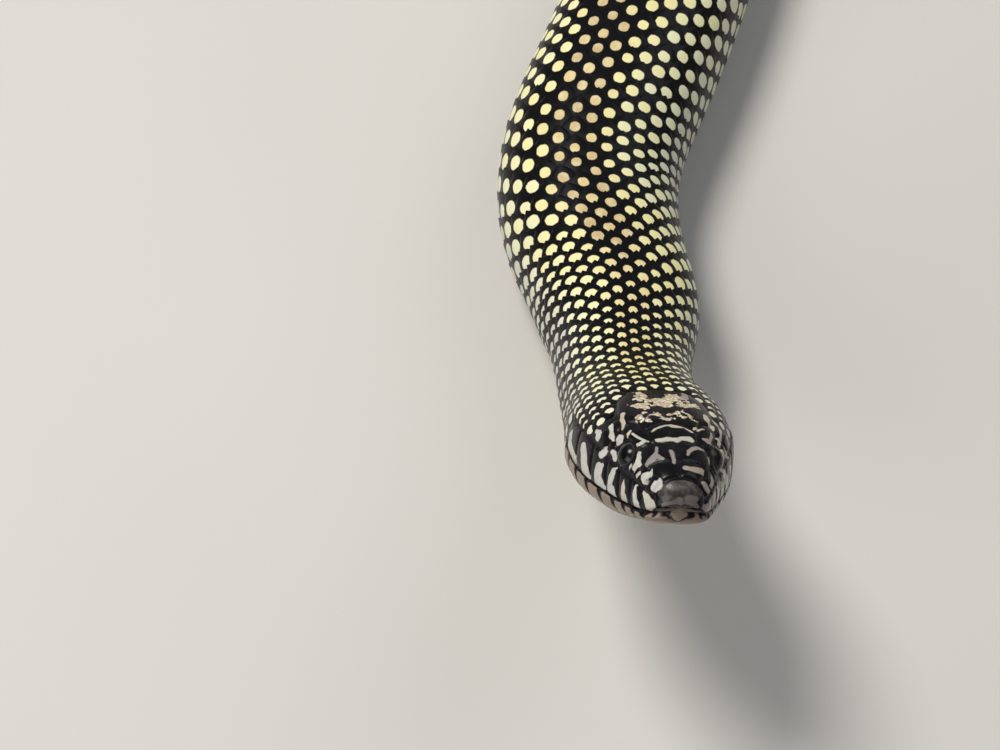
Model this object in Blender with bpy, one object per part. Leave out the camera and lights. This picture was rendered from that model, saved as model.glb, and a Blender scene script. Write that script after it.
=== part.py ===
"""A kingsnake lying in loose bends with its head raised: a still model at life size.

Metres, +Z up, the head toward -Y. s is the way along the animal from the tip of the snout.
Across the animal, x runs to its right and z to its back, in millimetres in the tables.
"""
import math

import bmesh
import bpy
import numpy as np
from mathutils import Vector

for old in list(bpy.data.objects):
    bpy.data.objects.remove(old)

MM = 0.001

# Places in the shared frame: the middle of the whole lies over the origin.
PLACE = Vector((-0.1320, -0.1135, 0.0))

# The head is a straight length from the snout to the joint with the neck.
HEAD_LENGTH = 30 * MM
HEAD_PITCH = math.radians(37.5)
HEAD_YAW = math.radians(8.5)
HEAD_ROLL = math.radians(-10.0)
ROLL_ENDS = 110 * MM
JOINT = (17.9, -11.0, 27.5)

# The middle of the raised neck, from the joint down to the floor.
NECK_ROUTE = [
    (16.4, 3.4, 18.5),
    (16.1, 18.0, 12.6),
    (13.8, 29.0, 9.8),
]

# The middle of the body on the floor; its height follows from its depth.
FLOOR_ROUTE = [
    (12.3, 39.5), (13.6, 49.5), (16.6, 58.5), (20.8, 70.0), (25.2, 85.0), (30.2, 110.0),
    (42.0, 140.0), (66.0, 167.0), (100.0, 180.0), (135.0, 172.0), (160.0, 148.0),
    (172.0, 117.0), (181.0, 84.0), (204.0, 56.0), (240.0, 46.0), (275.0, 61.0),
    (291.0, 95.0), (292.0, 134.0), (283.0, 172.0), (262.0, 207.0), (228.0, 234.0),
    (186.0, 246.0), (142.0, 248.0), (98.0, 245.0), (55.0, 235.0), (20.0, 212.0),
    (0.0, 178.0), (-13.0, 145.0), (-36.0, 119.0), (-45.0, 115.0),
]

# How far the body's middle sinks to the floor, as a part of its depth: the belly is pressed flat.
BELLY_SINK = 0.95

# s, half width, height over the middle line, depth under it.
FORM = [
    (0.0, 0.0, 2.6, 0.9), (0.25, 1.6, 3.5, 0.7), (0.8, 2.7, 4.2, 0.6), (1.6, 3.5, 4.9, 0.7),
    (3.0, 4.25, 5.7, 1.15), (5.5, 5.25, 6.7, 2.15), (8.5, 6.35, 7.6, 3.15), (12.0, 7.8, 8.4, 4.0),
    (16.0, 9.2, 8.9, 4.6), (20.0, 10.0, 9.1, 5.0), (24.0, 10.25, 9.2, 5.2), (27.0, 10.1, 9.1, 5.35),
    (30.0, 9.7, 8.9, 5.6), (35.0, 9.1, 8.4, 6.2), (41.0, 8.7, 8.2, 6.7),
    (48.0, 8.85, 8.3, 7.1), (55.0, 9.6, 8.8, 7.5), (62.0, 10.9, 9.9, 8.2), (70.0, 11.4, 10.6, 8.8),
    (80.0, 12.3, 11.2, 9.2), (95.0, 12.8, 11.5, 9.5), (130.0, 12.9, 11.9, 9.8),
    (200.0, 14.4, 13.4, 11.0), (350.0, 16.0, 14.8, 12.1), (520.0, 16.5, 15.2, 12.4),
    (660.0, 15.6, 14.4, 11.8), (780.0, 13.2, 12.2, 10.0), (870.0, 10.3, 9.6, 7.9),
    (920.0, 8.5, 8.0, 6.5), (955.0, 7.1, 6.7, 5.4), (1000.0, 4.8, 4.5, 3.7),
    (1035.0, 2.5, 2.4, 1.9), (1060.0, 0.7, 0.7, 0.6),
]

# How square the section is over the middle line and under it.
BACK_SQUARENESS = [(0.0, 2.3), (5.0, 2.6), (11.0, 2.9), (20.0, 2.7), (30.0, 2.45), (60.0, 2.2),
                   (1060.0, 2.15)]
BELLY_SQUARENESS = 2.6

# s and height of the line where the mouth closes.
MOUTH_LINE = [(0.0, 1.8), (0.6, 1.4), (1.6, 0.75), (3.0, 0.4), (5.0, 0.1), (9.0, -0.3),
              (15.0, -0.3), (20.0, 0.0), (25.5, 0.7), (30.0, 1.1)]

GAP = 0.3 * MM
JAW_INSET = 0.1 * MM

# Places on the head's skin are (s, q): q runs from the middle of the back at 0 to the lip at 1.
EYE_AT = (8.75, 0.585)
EYE_RADIUS = 1.95 * MM
EYE_DEPTH = 1.15 * MM
NOSTRIL_AT = (3.25, 0.62)
NOSTRIL_RADIUS = 0.45 * MM

SNOUT_TIP = (0.0, 0.45)
PLATE_RAISE = 0.22 * MM
PLATE_ROOT = 0.55 * MM
PLATE_INSET = 0.14 * MM
PLATE_STEP = 1.7 * MM

# Plates of the middle line, by their corners on the right from front to rear.
MIDDLE_PLATES = {
    "rostral": [(1.8, 0.0), (1.65, 0.2), (1.6, 0.38), (1.7, 0.56), (1.5, 0.74), (1.25, 0.86),
                (1.0, 0.96), (0.5, 0.95), (0.15, 0.95), (0.0, 0.95)],
    "frontal": [(7.7, 0.0), (7.8, 0.23), (10.0, 0.20), (11.6, 0.0)],
}

# Plates of the right side, mirrored to the left.
SIDE_PLATES = {
    "internasal": [(1.9, 0.0), (3.9, 0.0), (4.4, 0.28), (4.3, 0.43), (3.2, 0.46), (1.75, 0.36)],
    "prenasal": [(1.75, 0.40), (3.1, 0.50), (3.2, 0.75), (1.75, 0.74)],
    "postnasal": [(3.2, 0.50), (4.4, 0.46), (5.2, 0.52), (5.2, 0.74), (3.3, 0.75)],
    "loreal": [(5.3, 0.55), (6.0, 0.56), (6.1, 0.73), (5.3, 0.74)],
    "prefrontal": [(4.0, 0.0), (7.5, 0.0), (7.7, 0.22), (7.6, 0.36), (6.6, 0.50), (5.3, 0.52),
                   (4.5, 0.44), (4.5, 0.28)],
    "preocular": [(6.1, 0.54), (7.4, 0.41), (7.6, 0.45), (7.2, 0.58), (7.1, 0.72), (6.2, 0.73)],
    "supraocular": [(7.9, 0.26), (10.1, 0.22), (12.2, 0.22), (12.9, 0.34), (12.0, 0.45), (9.8, 0.42),
                    (8.3, 0.42), (7.8, 0.38)],
    "parietal": [(11.8, 0.0), (10.4, 0.19), (12.4, 0.21), (13.2, 0.34), (15.5, 0.36), (18.5, 0.30),
                 (20.8, 0.18), (21.2, 0.06), (20.2, 0.0)],
    "upper_postocular": [(11.0, 0.46), (12.1, 0.47), (12.2, 0.57), (10.9, 0.59)],
    "lower_postocular": [(10.8, 0.61), (12.2, 0.59), (12.3, 0.72), (10.5, 0.74)],
    "upper_temporal": [(12.5, 0.46), (13.2, 0.37), (14.6, 0.38), (14.6, 0.53), (12.6, 0.56)],
    "lower_temporal": [(12.6, 0.59), (14.6, 0.56), (15.0, 0.72), (12.6, 0.73)],
}

# The plates of the upper lip meet at these s, and slope back a little toward the lip.
LIP_PARTINGS = [1.6, 3.4, 5.7, 8.4, 11.2, 14.7, 19.3, 24.0]
LIP_PLATE_TOPS = [0.77, 0.76, 0.76, 0.79, 0.78, 0.76, 0.74, 0.76]
LIP_SLOPE = 0.5
LIP_EDGE = 0.96

# On the jaw q runs from the lip at 0 to the middle of the chin at 1.
CHIN_FRONT = 0.45 * MM
CHIN_ROUND = 2.6 * MM
LOWER_LIP_PARTINGS = [2.6, 4.6, 6.8, 9.3, 12.2, 15.4, 18.8, 22.4, 26.0]
LOWER_LIP_BAND = (0.05, 0.36)
CHIN_PLATES = {
    "front_shield": [(3.2, 0.42), (9.2, 0.42), (10.2, 0.70), (9.4, 0.97), (3.2, 0.97)],
    "rear_shield": [(10.0, 0.44), (15.6, 0.48), (16.4, 0.72), (15.4, 0.93), (10.6, 0.93)],
}

NECK_END = 95 * MM
VENT = 915 * MM
TAIL_PARTING = 985 * MM
TRUNK_LENGTHS = 9

# Where the rings of the head and the jaw lie, by s, and how each ring and length is divided.
HEAD_STOPS = [0.25, 0.8, 1.6, 2.4, 3.4, 4.6, 6.0, 7.6, 9.2, 10.8, 12.4, 14.0, 16.0, 18.0, 20.0,
              22.0, 24.0, 26.0, 28.0]
JAW_STOPS = [0.5, 0.65, 0.95, 1.5, 2.4, 3.6, 5.2, 7.2, 9.6, 12.0, 14.5, 17.0, 19.5, 22.0, 24.5, 27.0]
HEAD_SIDES = 30
JAW_SIDES = 18
PALATE_SPANS = 6
NECK_STEP, NECK_SIDES = 4 * MM, 26
TRUNK_STEP, TRUNK_SIDES = 9 * MM, 20
TAIL_STEP, TAIL_SIDES = 6.5 * MM, 16
ROUTE_SAMPLES = 8001
WELD = 0.01 * MM
CLOSE_BY = 0.4 * MM

COLOURS = {
    "speckled_scales": ((0.115, 0.105, 0.060), 0.38),
    "belly_scales": ((0.52, 0.47, 0.28), 0.42),
    "eye_lens": ((0.010, 0.009, 0.008), 0.08),
}


def spline(knots, values, first_slope=None):
    """A curve of smooth bend through the values, as a function of the knots' measure."""
    k = np.asarray(knots, float)
    v = np.asarray(values, float).reshape(len(k), -1)
    h = np.diff(k)
    steps = np.diff(v, axis=0) / h[:, None]
    n = len(k)
    matrix = np.eye(n)
    right = np.zeros_like(v)
    for i in range(1, n - 1):
        matrix[i, i - 1:i + 2] = h[i - 1], 2 * (h[i - 1] + h[i]), h[i]
        right[i] = 6 * (steps[i] - steps[i - 1])
    if first_slope is not None:
        matrix[0, :2] = 2 * h[0], h[0]
        right[0] = 6 * (steps[0] - np.asarray(first_slope, float))
    bend = np.linalg.solve(matrix, right)

    def at(t):
        t = np.clip(np.atleast_1d(np.asarray(t, float)), k[0], k[-1])
        i = np.clip(np.searchsorted(k, t) - 1, 0, n - 2)
        b = ((t - k[i]) / h[i])[:, None]
        a = 1 - b
        curve = (a ** 3 - a) * bend[i] + (b ** 3 - b) * bend[i + 1]
        return a * v[i] + b * v[i + 1] + curve * (h[i] ** 2)[:, None] / 6

    return at


# The form changes fastest at the snout, so its curves are drawn over the root of s.
_form = spline([math.sqrt(row[0]) for row in FORM], [row[1:] for row in FORM])


def form(s):
    """Half width, height and depth of the section at s, in metres."""
    row = _form(math.sqrt(max(s, 0.0) / MM))[0] * MM
    return float(row[0]), float(row[1]), float(row[2])


def back_squareness(s):
    return float(np.interp(s / MM, *zip(*BACK_SQUARENESS)))


def mouth_line(s):
    return float(np.interp(s / MM, *zip(*MOUTH_LINE))) * MM


def head_direction():
    flat = math.cos(HEAD_PITCH)
    return Vector((flat * math.sin(HEAD_YAW), -flat * math.cos(HEAD_YAW), math.sin(HEAD_PITCH)))


class Spine:
    """The animal's middle line, by the way along it."""

    def __init__(self):
        forward = head_direction()
        points = [Vector(JOINT) * MM]
        points += [Vector(p) * MM for p in NECK_ROUTE]
        way = HEAD_LENGTH + sum((b - a).length for a, b in zip(points, points[1:]))
        for x, y in FLOOR_ROUTE:
            spot = Vector((x, y, 0)) * MM
            way += (spot.xy - points[-1].xy).length
            spot.z = BELLY_SINK * form(way)[2]
            points.append(spot)
        points = [p + PLACE for p in points]
        knots = np.cumsum([0.0] + [(b - a).length for a, b in zip(points, points[1:])])
        curve = spline(knots, [tuple(p) for p in points], -np.array(forward))
        self.line = curve(np.linspace(0, knots[-1], ROUTE_SAMPLES))
        steps = np.linalg.norm(np.diff(self.line, axis=0), axis=1)
        self.way = np.concatenate([[0.0], np.cumsum(steps)])
        self.forward = forward
        self.length = HEAD_LENGTH + float(self.way[-1])

    def point(self, s):
        behind = s - HEAD_LENGTH
        if behind < 0:
            return Vector(self.line[0]) - self.forward * behind
        return Vector([float(np.interp(behind, self.way, self.line[:, i])) for i in range(3)])

    def frame(self, s):
        """The middle, the way forward, the animal's right and its back at s."""
        if s <= HEAD_LENGTH:
            forward = self.forward
        else:
            behind = self.point(min(s + CLOSE_BY, self.length))
            forward = (self.point(s - CLOSE_BY) - behind).normalized()
        up = (Vector((0, 0, 1)) - forward * forward.z).normalized()
        side = forward.cross(up)
        fade = min(max((ROLL_ENDS - s) / (ROLL_ENDS - HEAD_LENGTH), 0.0), 1.0)
        roll = HEAD_ROLL * fade * fade * (3 - 2 * fade)
        turned = up * math.cos(roll) + side * math.sin(roll)
        return self.point(s), forward, forward.cross(turned), turned


spine = Spine()


def place(s, x, z):
    """The point x to the right and z to the back of the middle line, kept over the floor."""
    middle, _, right, up = spine.frame(s)
    spot = middle + right * x + up * z
    spot.z = max(spot.z, 0.0)
    return spot


def section(s, angle):
    """x and z of the section at an angle from the back, to the right when positive."""
    half, height, depth = form(s)
    over = math.cos(angle) > 0
    power = 2 / (back_squareness(s) if over else BELLY_SQUARENESS)
    reach = height if over else -depth
    across = math.copysign(abs(math.sin(angle)) ** power, math.sin(angle))
    return half * across, reach * abs(math.cos(angle)) ** power


def angle_of_height(s, z):
    """The angle on the right side where the section passes the height z."""
    _, height, depth = form(s)
    if z >= 0:
        return math.acos(min(z / height, 1.0) ** (back_squareness(s) / 2))
    return math.pi - math.acos(min(-z / depth, 1.0) ** (BELLY_SQUARENESS / 2))


def material(name):
    found = bpy.data.materials.get(name)
    if found:
        return found
    made = bpy.data.materials.new(name)
    made.use_nodes = True
    shader = made.node_tree.nodes["Principled BSDF"]
    colour, rough = COLOURS[name]
    shader.inputs["Base Color"].default_value = (*colour, 1)
    shader.inputs["Roughness"].default_value = rough
    made.diffuse_color = (*colour, 1)
    return made


def finish_mesh(bm, name, slot):
    """A closed mesh as a named object, with its faces outward."""
    bmesh.ops.recalc_face_normals(bm, faces=bm.faces)
    if bm.calc_volume(signed=True) < 0:
        bmesh.ops.reverse_faces(bm, faces=bm.faces)
    mesh = bpy.data.meshes.new(name)
    bm.to_mesh(mesh)
    bm.free()
    mesh.materials.append(material(slot))
    made = bpy.data.objects.new(name, mesh)
    bpy.context.scene.collection.objects.link(made)
    return made


def loft(name, rings, slot, front=None):
    """A closed body through rings of equal count, each end fanned to a point."""
    bm = bmesh.new()
    rows = [[bm.verts.new(p) for p in ring] for ring in rings]
    count = len(rows[0])
    for a, b in zip(rows, rows[1:]):
        for i in range(count):
            j = (i + 1) % count
            bm.faces.new((a[i], a[j], b[j], b[i]))
    for row, tip in ((rows[0], front), (rows[-1], None)):
        middle = sum((v.co for v in row), Vector()) / count
        hub = bm.verts.new(tip or middle)
        for i in range(count):
            bm.faces.new((row[i], row[(i + 1) % count], hub))
    return finish_mesh(bm, name, slot)


def body_ring(s, sides):
    return [place(s, *section(s, 2 * math.pi * i / sides)) for i in range(sides)]


def evenly(start, end, step):
    count = max(2, round((end - start) / step))
    return [start + (end - start) * i / count for i in range(count + 1)]


def length_of_body(name, start, end, step, sides):
    """One length of the body, cut by a hair's breadth at each end."""
    stops = evenly(start + GAP / 2, end - GAP / 2, step)
    loft(name, [body_ring(s, sides) for s in stops], "speckled_scales")


def combine(target, tool, way="DIFFERENCE"):
    """Joins the tool's solid to the target or takes it out, and removes the tool."""
    boolean = target.modifiers.new("combine", "BOOLEAN")
    boolean.operation = way
    boolean.solver = "EXACT"
    boolean.object = tool
    settle(target)
    bpy.data.objects.remove(tool)


def settle(target):
    """Makes the modifier's result the target's own mesh, with only its largest closed surface."""
    graph = bpy.context.evaluated_depsgraph_get()
    mesh = bpy.data.meshes.new_from_object(target.evaluated_get(graph))
    target.modifiers.clear()
    bm = bmesh.new()
    bm.from_mesh(mesh)
    bmesh.ops.dissolve_degenerate(bm, edges=bm.edges, dist=WELD)
    bmesh.ops.triangulate(bm, faces=bm.faces)
    islands = []
    left = set(bm.verts)
    while left:
        grown = {left.pop()}
        edge = list(grown)
        while edge:
            for link in edge.pop().link_edges:
                for vert in link.verts:
                    if vert in left:
                        left.discard(vert)
                        grown.add(vert)
                        edge.append(vert)
        islands.append(grown)
    keep = max(islands, key=len)
    bmesh.ops.delete(bm, geom=[v for v in bm.verts if v not in keep], context="VERTS")
    bm.to_mesh(target.data)
    bm.free()


def ball(name, centre, radius, axis, slot, turns=16, rows=10):
    """A sphere whose poles lie on the axis."""
    turn = Vector((0, 0, 1)).rotation_difference(axis).to_matrix().to_4x4()
    turn.translation = centre
    bm = bmesh.new()
    bmesh.ops.create_uvsphere(bm, u_segments=turns, v_segments=rows, radius=radius, matrix=turn)
    return finish_mesh(bm, name, slot)


def on_head(s, q):
    """The head's skin at s in millimetres, between the back and the lips."""
    s = max(s, 0.0) * MM
    lip = angle_of_height(s, mouth_line(s))
    return place(s, *section(s, lip * q))


def on_jaw(s, q):
    """The jaw's skin at s in millimetres: q is 0 at the right lip, 1 under the chin, 2 at the left."""
    s = s * MM
    top = mouth_line(s) - GAP
    half = form(s)[0]
    slim = (half - JAW_INSET) / half
    short = min(max((CHIN_ROUND - s) / (CHIN_ROUND - CHIN_FRONT), 0.0), 1.0)
    curl = math.sqrt(1 - short * short)
    lip = angle_of_height(s, top)
    x, z = section(s, lip + (math.pi - lip) * q)
    return place(s, x * slim * curl, top + (z - top) * curl)


def outward(skin, s, q):
    """The skin's own normal, found from points close by."""
    step = 0.05
    along = skin(s + step, q) - skin(max(s - step, 0.0), q)
    across = skin(s, q + 0.01) - skin(s, q - 0.01)
    normal = along.cross(across).normalized()
    if s < step:
        return spine.frame(0)[1]
    away = skin(s, q) - spine.point(s * MM)
    return normal if normal.dot(away) > 0 else -normal


def plate_outline(skin, corners):
    """The corners with points added between them, no wider apart than a step."""
    outline = []
    for (s0, q0), (s1, q1) in zip(corners, corners[1:] + corners[:1]):
        span = (skin(s1, q1) - skin(s0, q0)).length
        count = max(1, round(span / PLATE_STEP))
        outline += [(s0 + (s1 - s0) * i / count, q0 + (q1 - q0) * i / count) for i in range(count)]
    return outline


def add_plate(bm, skin, corners, hub, folded=False):
    """A raised plate whose root is sunk in the skin, as one closed body.

    A folded plate wraps the tip of the snout, where both sides meet: its hub lies there and
    its outline is its corners alone.
    """
    outline = corners if folded else plate_outline(skin, corners)
    rings = [[], [], []]
    for s, q in outline:
        inner = (hub[0], hub[1] * (q > 0) - hub[1] * (q < 0)) if folded else hub
        span = (skin(*inner) - skin(s, q)).length
        for ring, part, lift in ((0, PLATE_INSET / span, -PLATE_ROOT),
                                 (1, PLATE_INSET / span, PLATE_RAISE), (2, 0.5, PLATE_RAISE)):
            at = (s + (inner[0] - s) * part, q + (inner[1] - q) * part)
            rings[ring].append(bm.verts.new(skin(*at) + outward(skin, *at) * lift))
    normal = outward(skin, *hub)
    top = bm.verts.new(skin(*hub) + normal * PLATE_RAISE)
    root = bm.verts.new(skin(*hub) - normal * PLATE_ROOT)
    count = len(outline)
    for i in range(count):
        j = (i + 1) % count
        for a, b in ((rings[0], rings[1]), (rings[1], rings[2])):
            bm.faces.new((a[i], a[j], b[j], b[i]))
        bm.faces.new((rings[2][i], rings[2][j], top))
        bm.faces.new((rings[0][j], rings[0][i], root))


def middle_of(corners):
    return tuple(sum(c[i] for c in corners) / len(corners) for i in range(2))


def mirrored(corners):
    return [(s, -q) for s, q in reversed(corners)]


def across_middle(corners):
    """A plate of the middle line from its right-hand corners."""
    return corners + [(s, -q) for s, q in reversed(corners) if s * q]


def lip_plates():
    for i, (front, rear) in enumerate(zip(LIP_PARTINGS, LIP_PARTINGS[1:])):
        tops = LIP_PLATE_TOPS[i], LIP_PLATE_TOPS[i + 1]
        yield [(front, tops[0]), (rear, tops[1]), (rear - LIP_SLOPE, LIP_EDGE),
               (front - LIP_SLOPE, LIP_EDGE)]


def head_plates():
    bm = bmesh.new()
    for name, corners in MIDDLE_PLATES.items():
        folded = name == "rostral"
        hub = SNOUT_TIP if folded else (middle_of(corners)[0], 0.0)
        add_plate(bm, on_head, across_middle(corners), hub, folded)
    for corners in [*SIDE_PLATES.values(), *lip_plates()]:
        for side in (corners, mirrored(corners)):
            add_plate(bm, on_head, side, middle_of(side))
    return finish_mesh(bm, "head_plates", "speckled_scales")


def jaw_plates():
    bm = bmesh.new()
    low, high = LOWER_LIP_BAND
    bands = [[(a, low), (b, low), (b, high), (a, high)]
             for a, b in zip(LOWER_LIP_PARTINGS, LOWER_LIP_PARTINGS[1:])]
    for corners in [*bands, *CHIN_PLATES.values()]:
        for side in (corners, [(s, 2 - q) for s, q in reversed(corners)]):
            add_plate(bm, on_jaw, side, middle_of(side))
    return finish_mesh(bm, "jaw_plates", "belly_scales")


def upper_head_ring(s):
    """Over the back from lip to lip, then across the palate."""
    ring = [on_head(s, 1 - 2 * i / HEAD_SIDES) for i in range(HEAD_SIDES + 1)]
    return ring + [ring[-1].lerp(ring[0], i / PALATE_SPANS) for i in range(1, PALATE_SPANS)]


def jaw_ring(s):
    """Under the throat from lip to lip, then across the floor of the mouth."""
    ring = [on_jaw(s, 2 * i / JAW_SIDES) for i in range(JAW_SIDES + 1)]
    return ring + [ring[-1].lerp(ring[0], i / PALATE_SPANS) for i in range(1, PALATE_SPANS)]


def on_side(at, way, lift):
    """A point lifted off the head's skin on the right, or on the left with way -1, and the normal."""
    s, q = at[0], at[1] * way
    normal = outward(on_head, s, q)
    return on_head(s, q) + normal * lift, normal


def build_head():
    joint = (HEAD_LENGTH - GAP / 2) / MM
    rings = [upper_head_ring(s) for s in HEAD_STOPS + [joint]]
    head = loft("head", rings, "speckled_scales", front=on_head(*SNOUT_TIP))
    combine(head, head_plates(), "UNION")
    for name, way in (("eye_right", 1), ("eye_left", -1)):
        centre, axis = on_side(EYE_AT, way, -EYE_DEPTH)
        combine(head, ball("socket", centre, EYE_RADIUS + GAP, axis, "speckled_scales"))
        ball(name, centre, EYE_RADIUS, axis, "eye_lens")
        pit, axis = on_side(NOSTRIL_AT, way, PLATE_RAISE)
        combine(head, ball("nostril", pit, NOSTRIL_RADIUS, axis, "speckled_scales", turns=10, rows=6))


def build_jaw():
    joint = (HEAD_LENGTH - GAP / 2) / MM
    jaw = loft("lower_jaw", [jaw_ring(s) for s in JAW_STOPS + [joint]], "belly_scales")
    combine(jaw, jaw_plates(), "UNION")


def build_body():
    length_of_body("neck", HEAD_LENGTH, NECK_END, NECK_STEP, NECK_SIDES)
    partings = evenly(NECK_END, VENT, (VENT - NECK_END) / TRUNK_LENGTHS)
    for i, (start, end) in enumerate(zip(partings, partings[1:]), 1):
        length_of_body(f"trunk_{i}", start, end, TRUNK_STEP, TRUNK_SIDES)
    length_of_body("tail_base", VENT, TAIL_PARTING, TAIL_STEP, TAIL_SIDES)
    length_of_body("tail_tip", TAIL_PARTING, spine.length, TAIL_STEP, TAIL_SIDES)


build_head()
build_jaw()
build_body()
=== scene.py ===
import math

import bmesh
import bpy
import numpy as np
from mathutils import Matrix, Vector


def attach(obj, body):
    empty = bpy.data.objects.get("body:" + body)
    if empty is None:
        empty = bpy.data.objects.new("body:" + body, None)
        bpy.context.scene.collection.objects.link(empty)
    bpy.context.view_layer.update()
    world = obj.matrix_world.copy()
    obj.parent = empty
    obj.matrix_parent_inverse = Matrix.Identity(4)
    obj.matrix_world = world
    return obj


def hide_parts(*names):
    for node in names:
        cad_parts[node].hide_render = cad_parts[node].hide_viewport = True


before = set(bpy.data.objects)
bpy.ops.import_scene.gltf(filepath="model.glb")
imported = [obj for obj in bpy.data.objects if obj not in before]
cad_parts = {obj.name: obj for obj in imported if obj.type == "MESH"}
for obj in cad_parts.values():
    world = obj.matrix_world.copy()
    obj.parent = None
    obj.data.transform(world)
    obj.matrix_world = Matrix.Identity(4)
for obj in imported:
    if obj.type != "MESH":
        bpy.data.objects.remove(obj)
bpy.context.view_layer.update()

MM = 0.001

# The snake's own sizes, the same as in the solids. s is the way along it from the snout;
# across it x runs to its right and z to its back. The tables are in millimetres.
PLACE = np.array((-0.1320, -0.1135, 0.0))
HEAD_LENGTH = 30 * MM
HEAD_PITCH = math.radians(37.5)
HEAD_YAW = math.radians(8.5)
HEAD_ROLL = math.radians(-10.0)
ROLL_ENDS = 110 * MM
JOINT = (17.9, -11.0, 27.5)
NECK_ROUTE = [(16.4, 3.4, 18.5), (16.1, 18, 12.6), (13.8, 29, 9.8)]
FLOOR_ROUTE = [
    (12.3, 39.5), (13.6, 49.5), (16.6, 58.5), (20.8, 70), (25.2, 85), (30.2, 110),
    (42, 140), (66, 167), (100, 180), (135, 172), (160, 148),
    (172, 117), (181, 84), (204, 56), (240, 46), (275, 61),
    (291, 95), (292, 134), (283, 172), (262, 207), (228, 234),
    (186, 246), (142, 248), (98, 245), (55, 235), (20, 212),
    (0, 178), (-13, 145), (-36, 119), (-45, 115),
]
BELLY_SINK = 0.95
FORM = [
    (0, 0, 2.6, 0.9), (0.25, 1.6, 3.5, 0.7), (0.8, 2.7, 4.2, 0.6), (1.6, 3.5, 4.9, 0.7),
    (3, 4.25, 5.7, 1.15), (5.5, 5.25, 6.7, 2.15), (8.5, 6.35, 7.6, 3.15), (12, 7.8, 8.4, 4),
    (16, 9.2, 8.9, 4.6), (20, 10, 9.1, 5), (24, 10.25, 9.2, 5.2), (27, 10.1, 9.1, 5.35),
    (30, 9.7, 8.9, 5.6), (35, 9.1, 8.4, 6.2), (41, 8.7, 8.2, 6.7),
    (48, 8.85, 8.3, 7.1), (55, 9.6, 8.8, 7.5), (62, 10.9, 9.9, 8.2), (70, 11.4, 10.6, 8.8),
    (80, 12.3, 11.2, 9.2), (95, 12.8, 11.5, 9.5), (130, 12.9, 11.9, 9.8),
    (200, 14.4, 13.4, 11), (350, 16, 14.8, 12.1), (520, 16.5, 15.2, 12.4),
    (660, 15.6, 14.4, 11.8), (780, 13.2, 12.2, 10), (870, 10.3, 9.6, 7.9),
    (920, 8.5, 8, 6.5), (955, 7.1, 6.7, 5.4), (1000, 4.8, 4.5, 3.7),
    (1035, 2.5, 2.4, 1.9), (1060, 0.7, 0.7, 0.6),
]
BACK_SQUARENESS = [(0, 2.3), (5, 2.6), (11, 2.9), (20, 2.7), (30, 2.45), (60, 2.2),
                   (1060, 2.15)]
BELLY_SQUARENESS = 2.6
MOUTH_LINE = [(0, 1.8), (0.6, 1.4), (1.6, 0.75), (3, 0.4), (5, 0.1), (9, -0.3),
              (15, -0.3), (20, 0), (25.5, 0.7), (30, 1.1)]
VENT = 915 * MM

# Places on the head are (s, q): on the upper head q runs from the middle of the back at 0 to
# the lip at 1, negative on the left; on the jaw from the lip at 0 to the middle of the chin at 1.
EYE_AT = (8.75, 0.585)
EYE_RADIUS = 1.95 * MM
EYE_DEPTH = 1.15 * MM
NOSTRIL_AT = (3.25, 0.62)
NOSTRIL_RADIUS = 0.42 * MM

MIDDLE_PLATES = {
    "rostral": [(1.8, 0), (1.65, 0.2), (1.6, 0.38), (1.7, 0.56), (1.5, 0.74), (1.25, 0.86),
                (1, 0.96), (-0.5, 0.98)],
    "frontal": [(7.7, 0), (7.8, 0.23), (10, 0.20), (11.6, 0)],
}
SIDE_PLATES = {
    "internasal": [(1.9, 0), (3.9, 0), (4.4, 0.28), (4.3, 0.43), (3.2, 0.46), (1.75, 0.36)],
    "prenasal": [(1.75, 0.40), (3.1, 0.50), (3.2, 0.75), (1.75, 0.74)],
    "postnasal": [(3.2, 0.50), (4.4, 0.46), (5.2, 0.52), (5.2, 0.74), (3.3, 0.75)],
    "loreal": [(5.3, 0.55), (6, 0.56), (6.1, 0.73), (5.3, 0.74)],
    "prefrontal": [(4, 0), (7.5, 0), (7.7, 0.22), (7.6, 0.36), (6.6, 0.50), (5.3, 0.52),
                   (4.5, 0.44), (4.5, 0.28)],
    "preocular": [(6.1, 0.54), (7.4, 0.41), (7.6, 0.45), (7.2, 0.58), (7.1, 0.72), (6.2, 0.73)],
    "supraocular": [(7.9, 0.26), (10.1, 0.22), (12.2, 0.22), (12.9, 0.34), (12, 0.45), (9.8, 0.42),
                    (8.3, 0.42), (7.8, 0.38)],
    "parietal": [(11.8, 0), (10.4, 0.19), (12.4, 0.21), (13.2, 0.34), (15.5, 0.36), (18.5, 0.30),
                 (20.8, 0.18), (21.2, 0.06), (20.2, 0)],
    "upper_postocular": [(11, 0.46), (12.1, 0.47), (12.2, 0.57), (10.9, 0.59)],
    "lower_postocular": [(10.8, 0.61), (12.2, 0.59), (12.3, 0.72), (10.5, 0.74)],
    "upper_temporal": [(12.5, 0.46), (13.2, 0.37), (14.6, 0.38), (14.6, 0.53), (12.6, 0.56)],
    "lower_temporal": [(12.6, 0.59), (14.6, 0.56), (15, 0.72), (12.6, 0.73)],
}
LIP_PARTINGS = [1.6, 3.4, 5.7, 8.4, 11.2, 14.7, 19.3, 24.0]
LIP_PLATE_TOPS = [0.77, 0.76, 0.76, 0.79, 0.78, 0.76, 0.74, 0.76]
LIP_SLOPE = 0.5
CHIN_FRONT = 0.45 * MM
CHIN_ROUND = 2.6 * MM
JAW_INSET = 0.1 * MM
LOWER_LIP_PARTINGS = [1.4, 2.6, 4.6, 6.8, 9.3, 12.2, 15.4, 18.8, 22.4, 26.0]
LOWER_LIP_BAND = (-0.02, 0.38)
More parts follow.
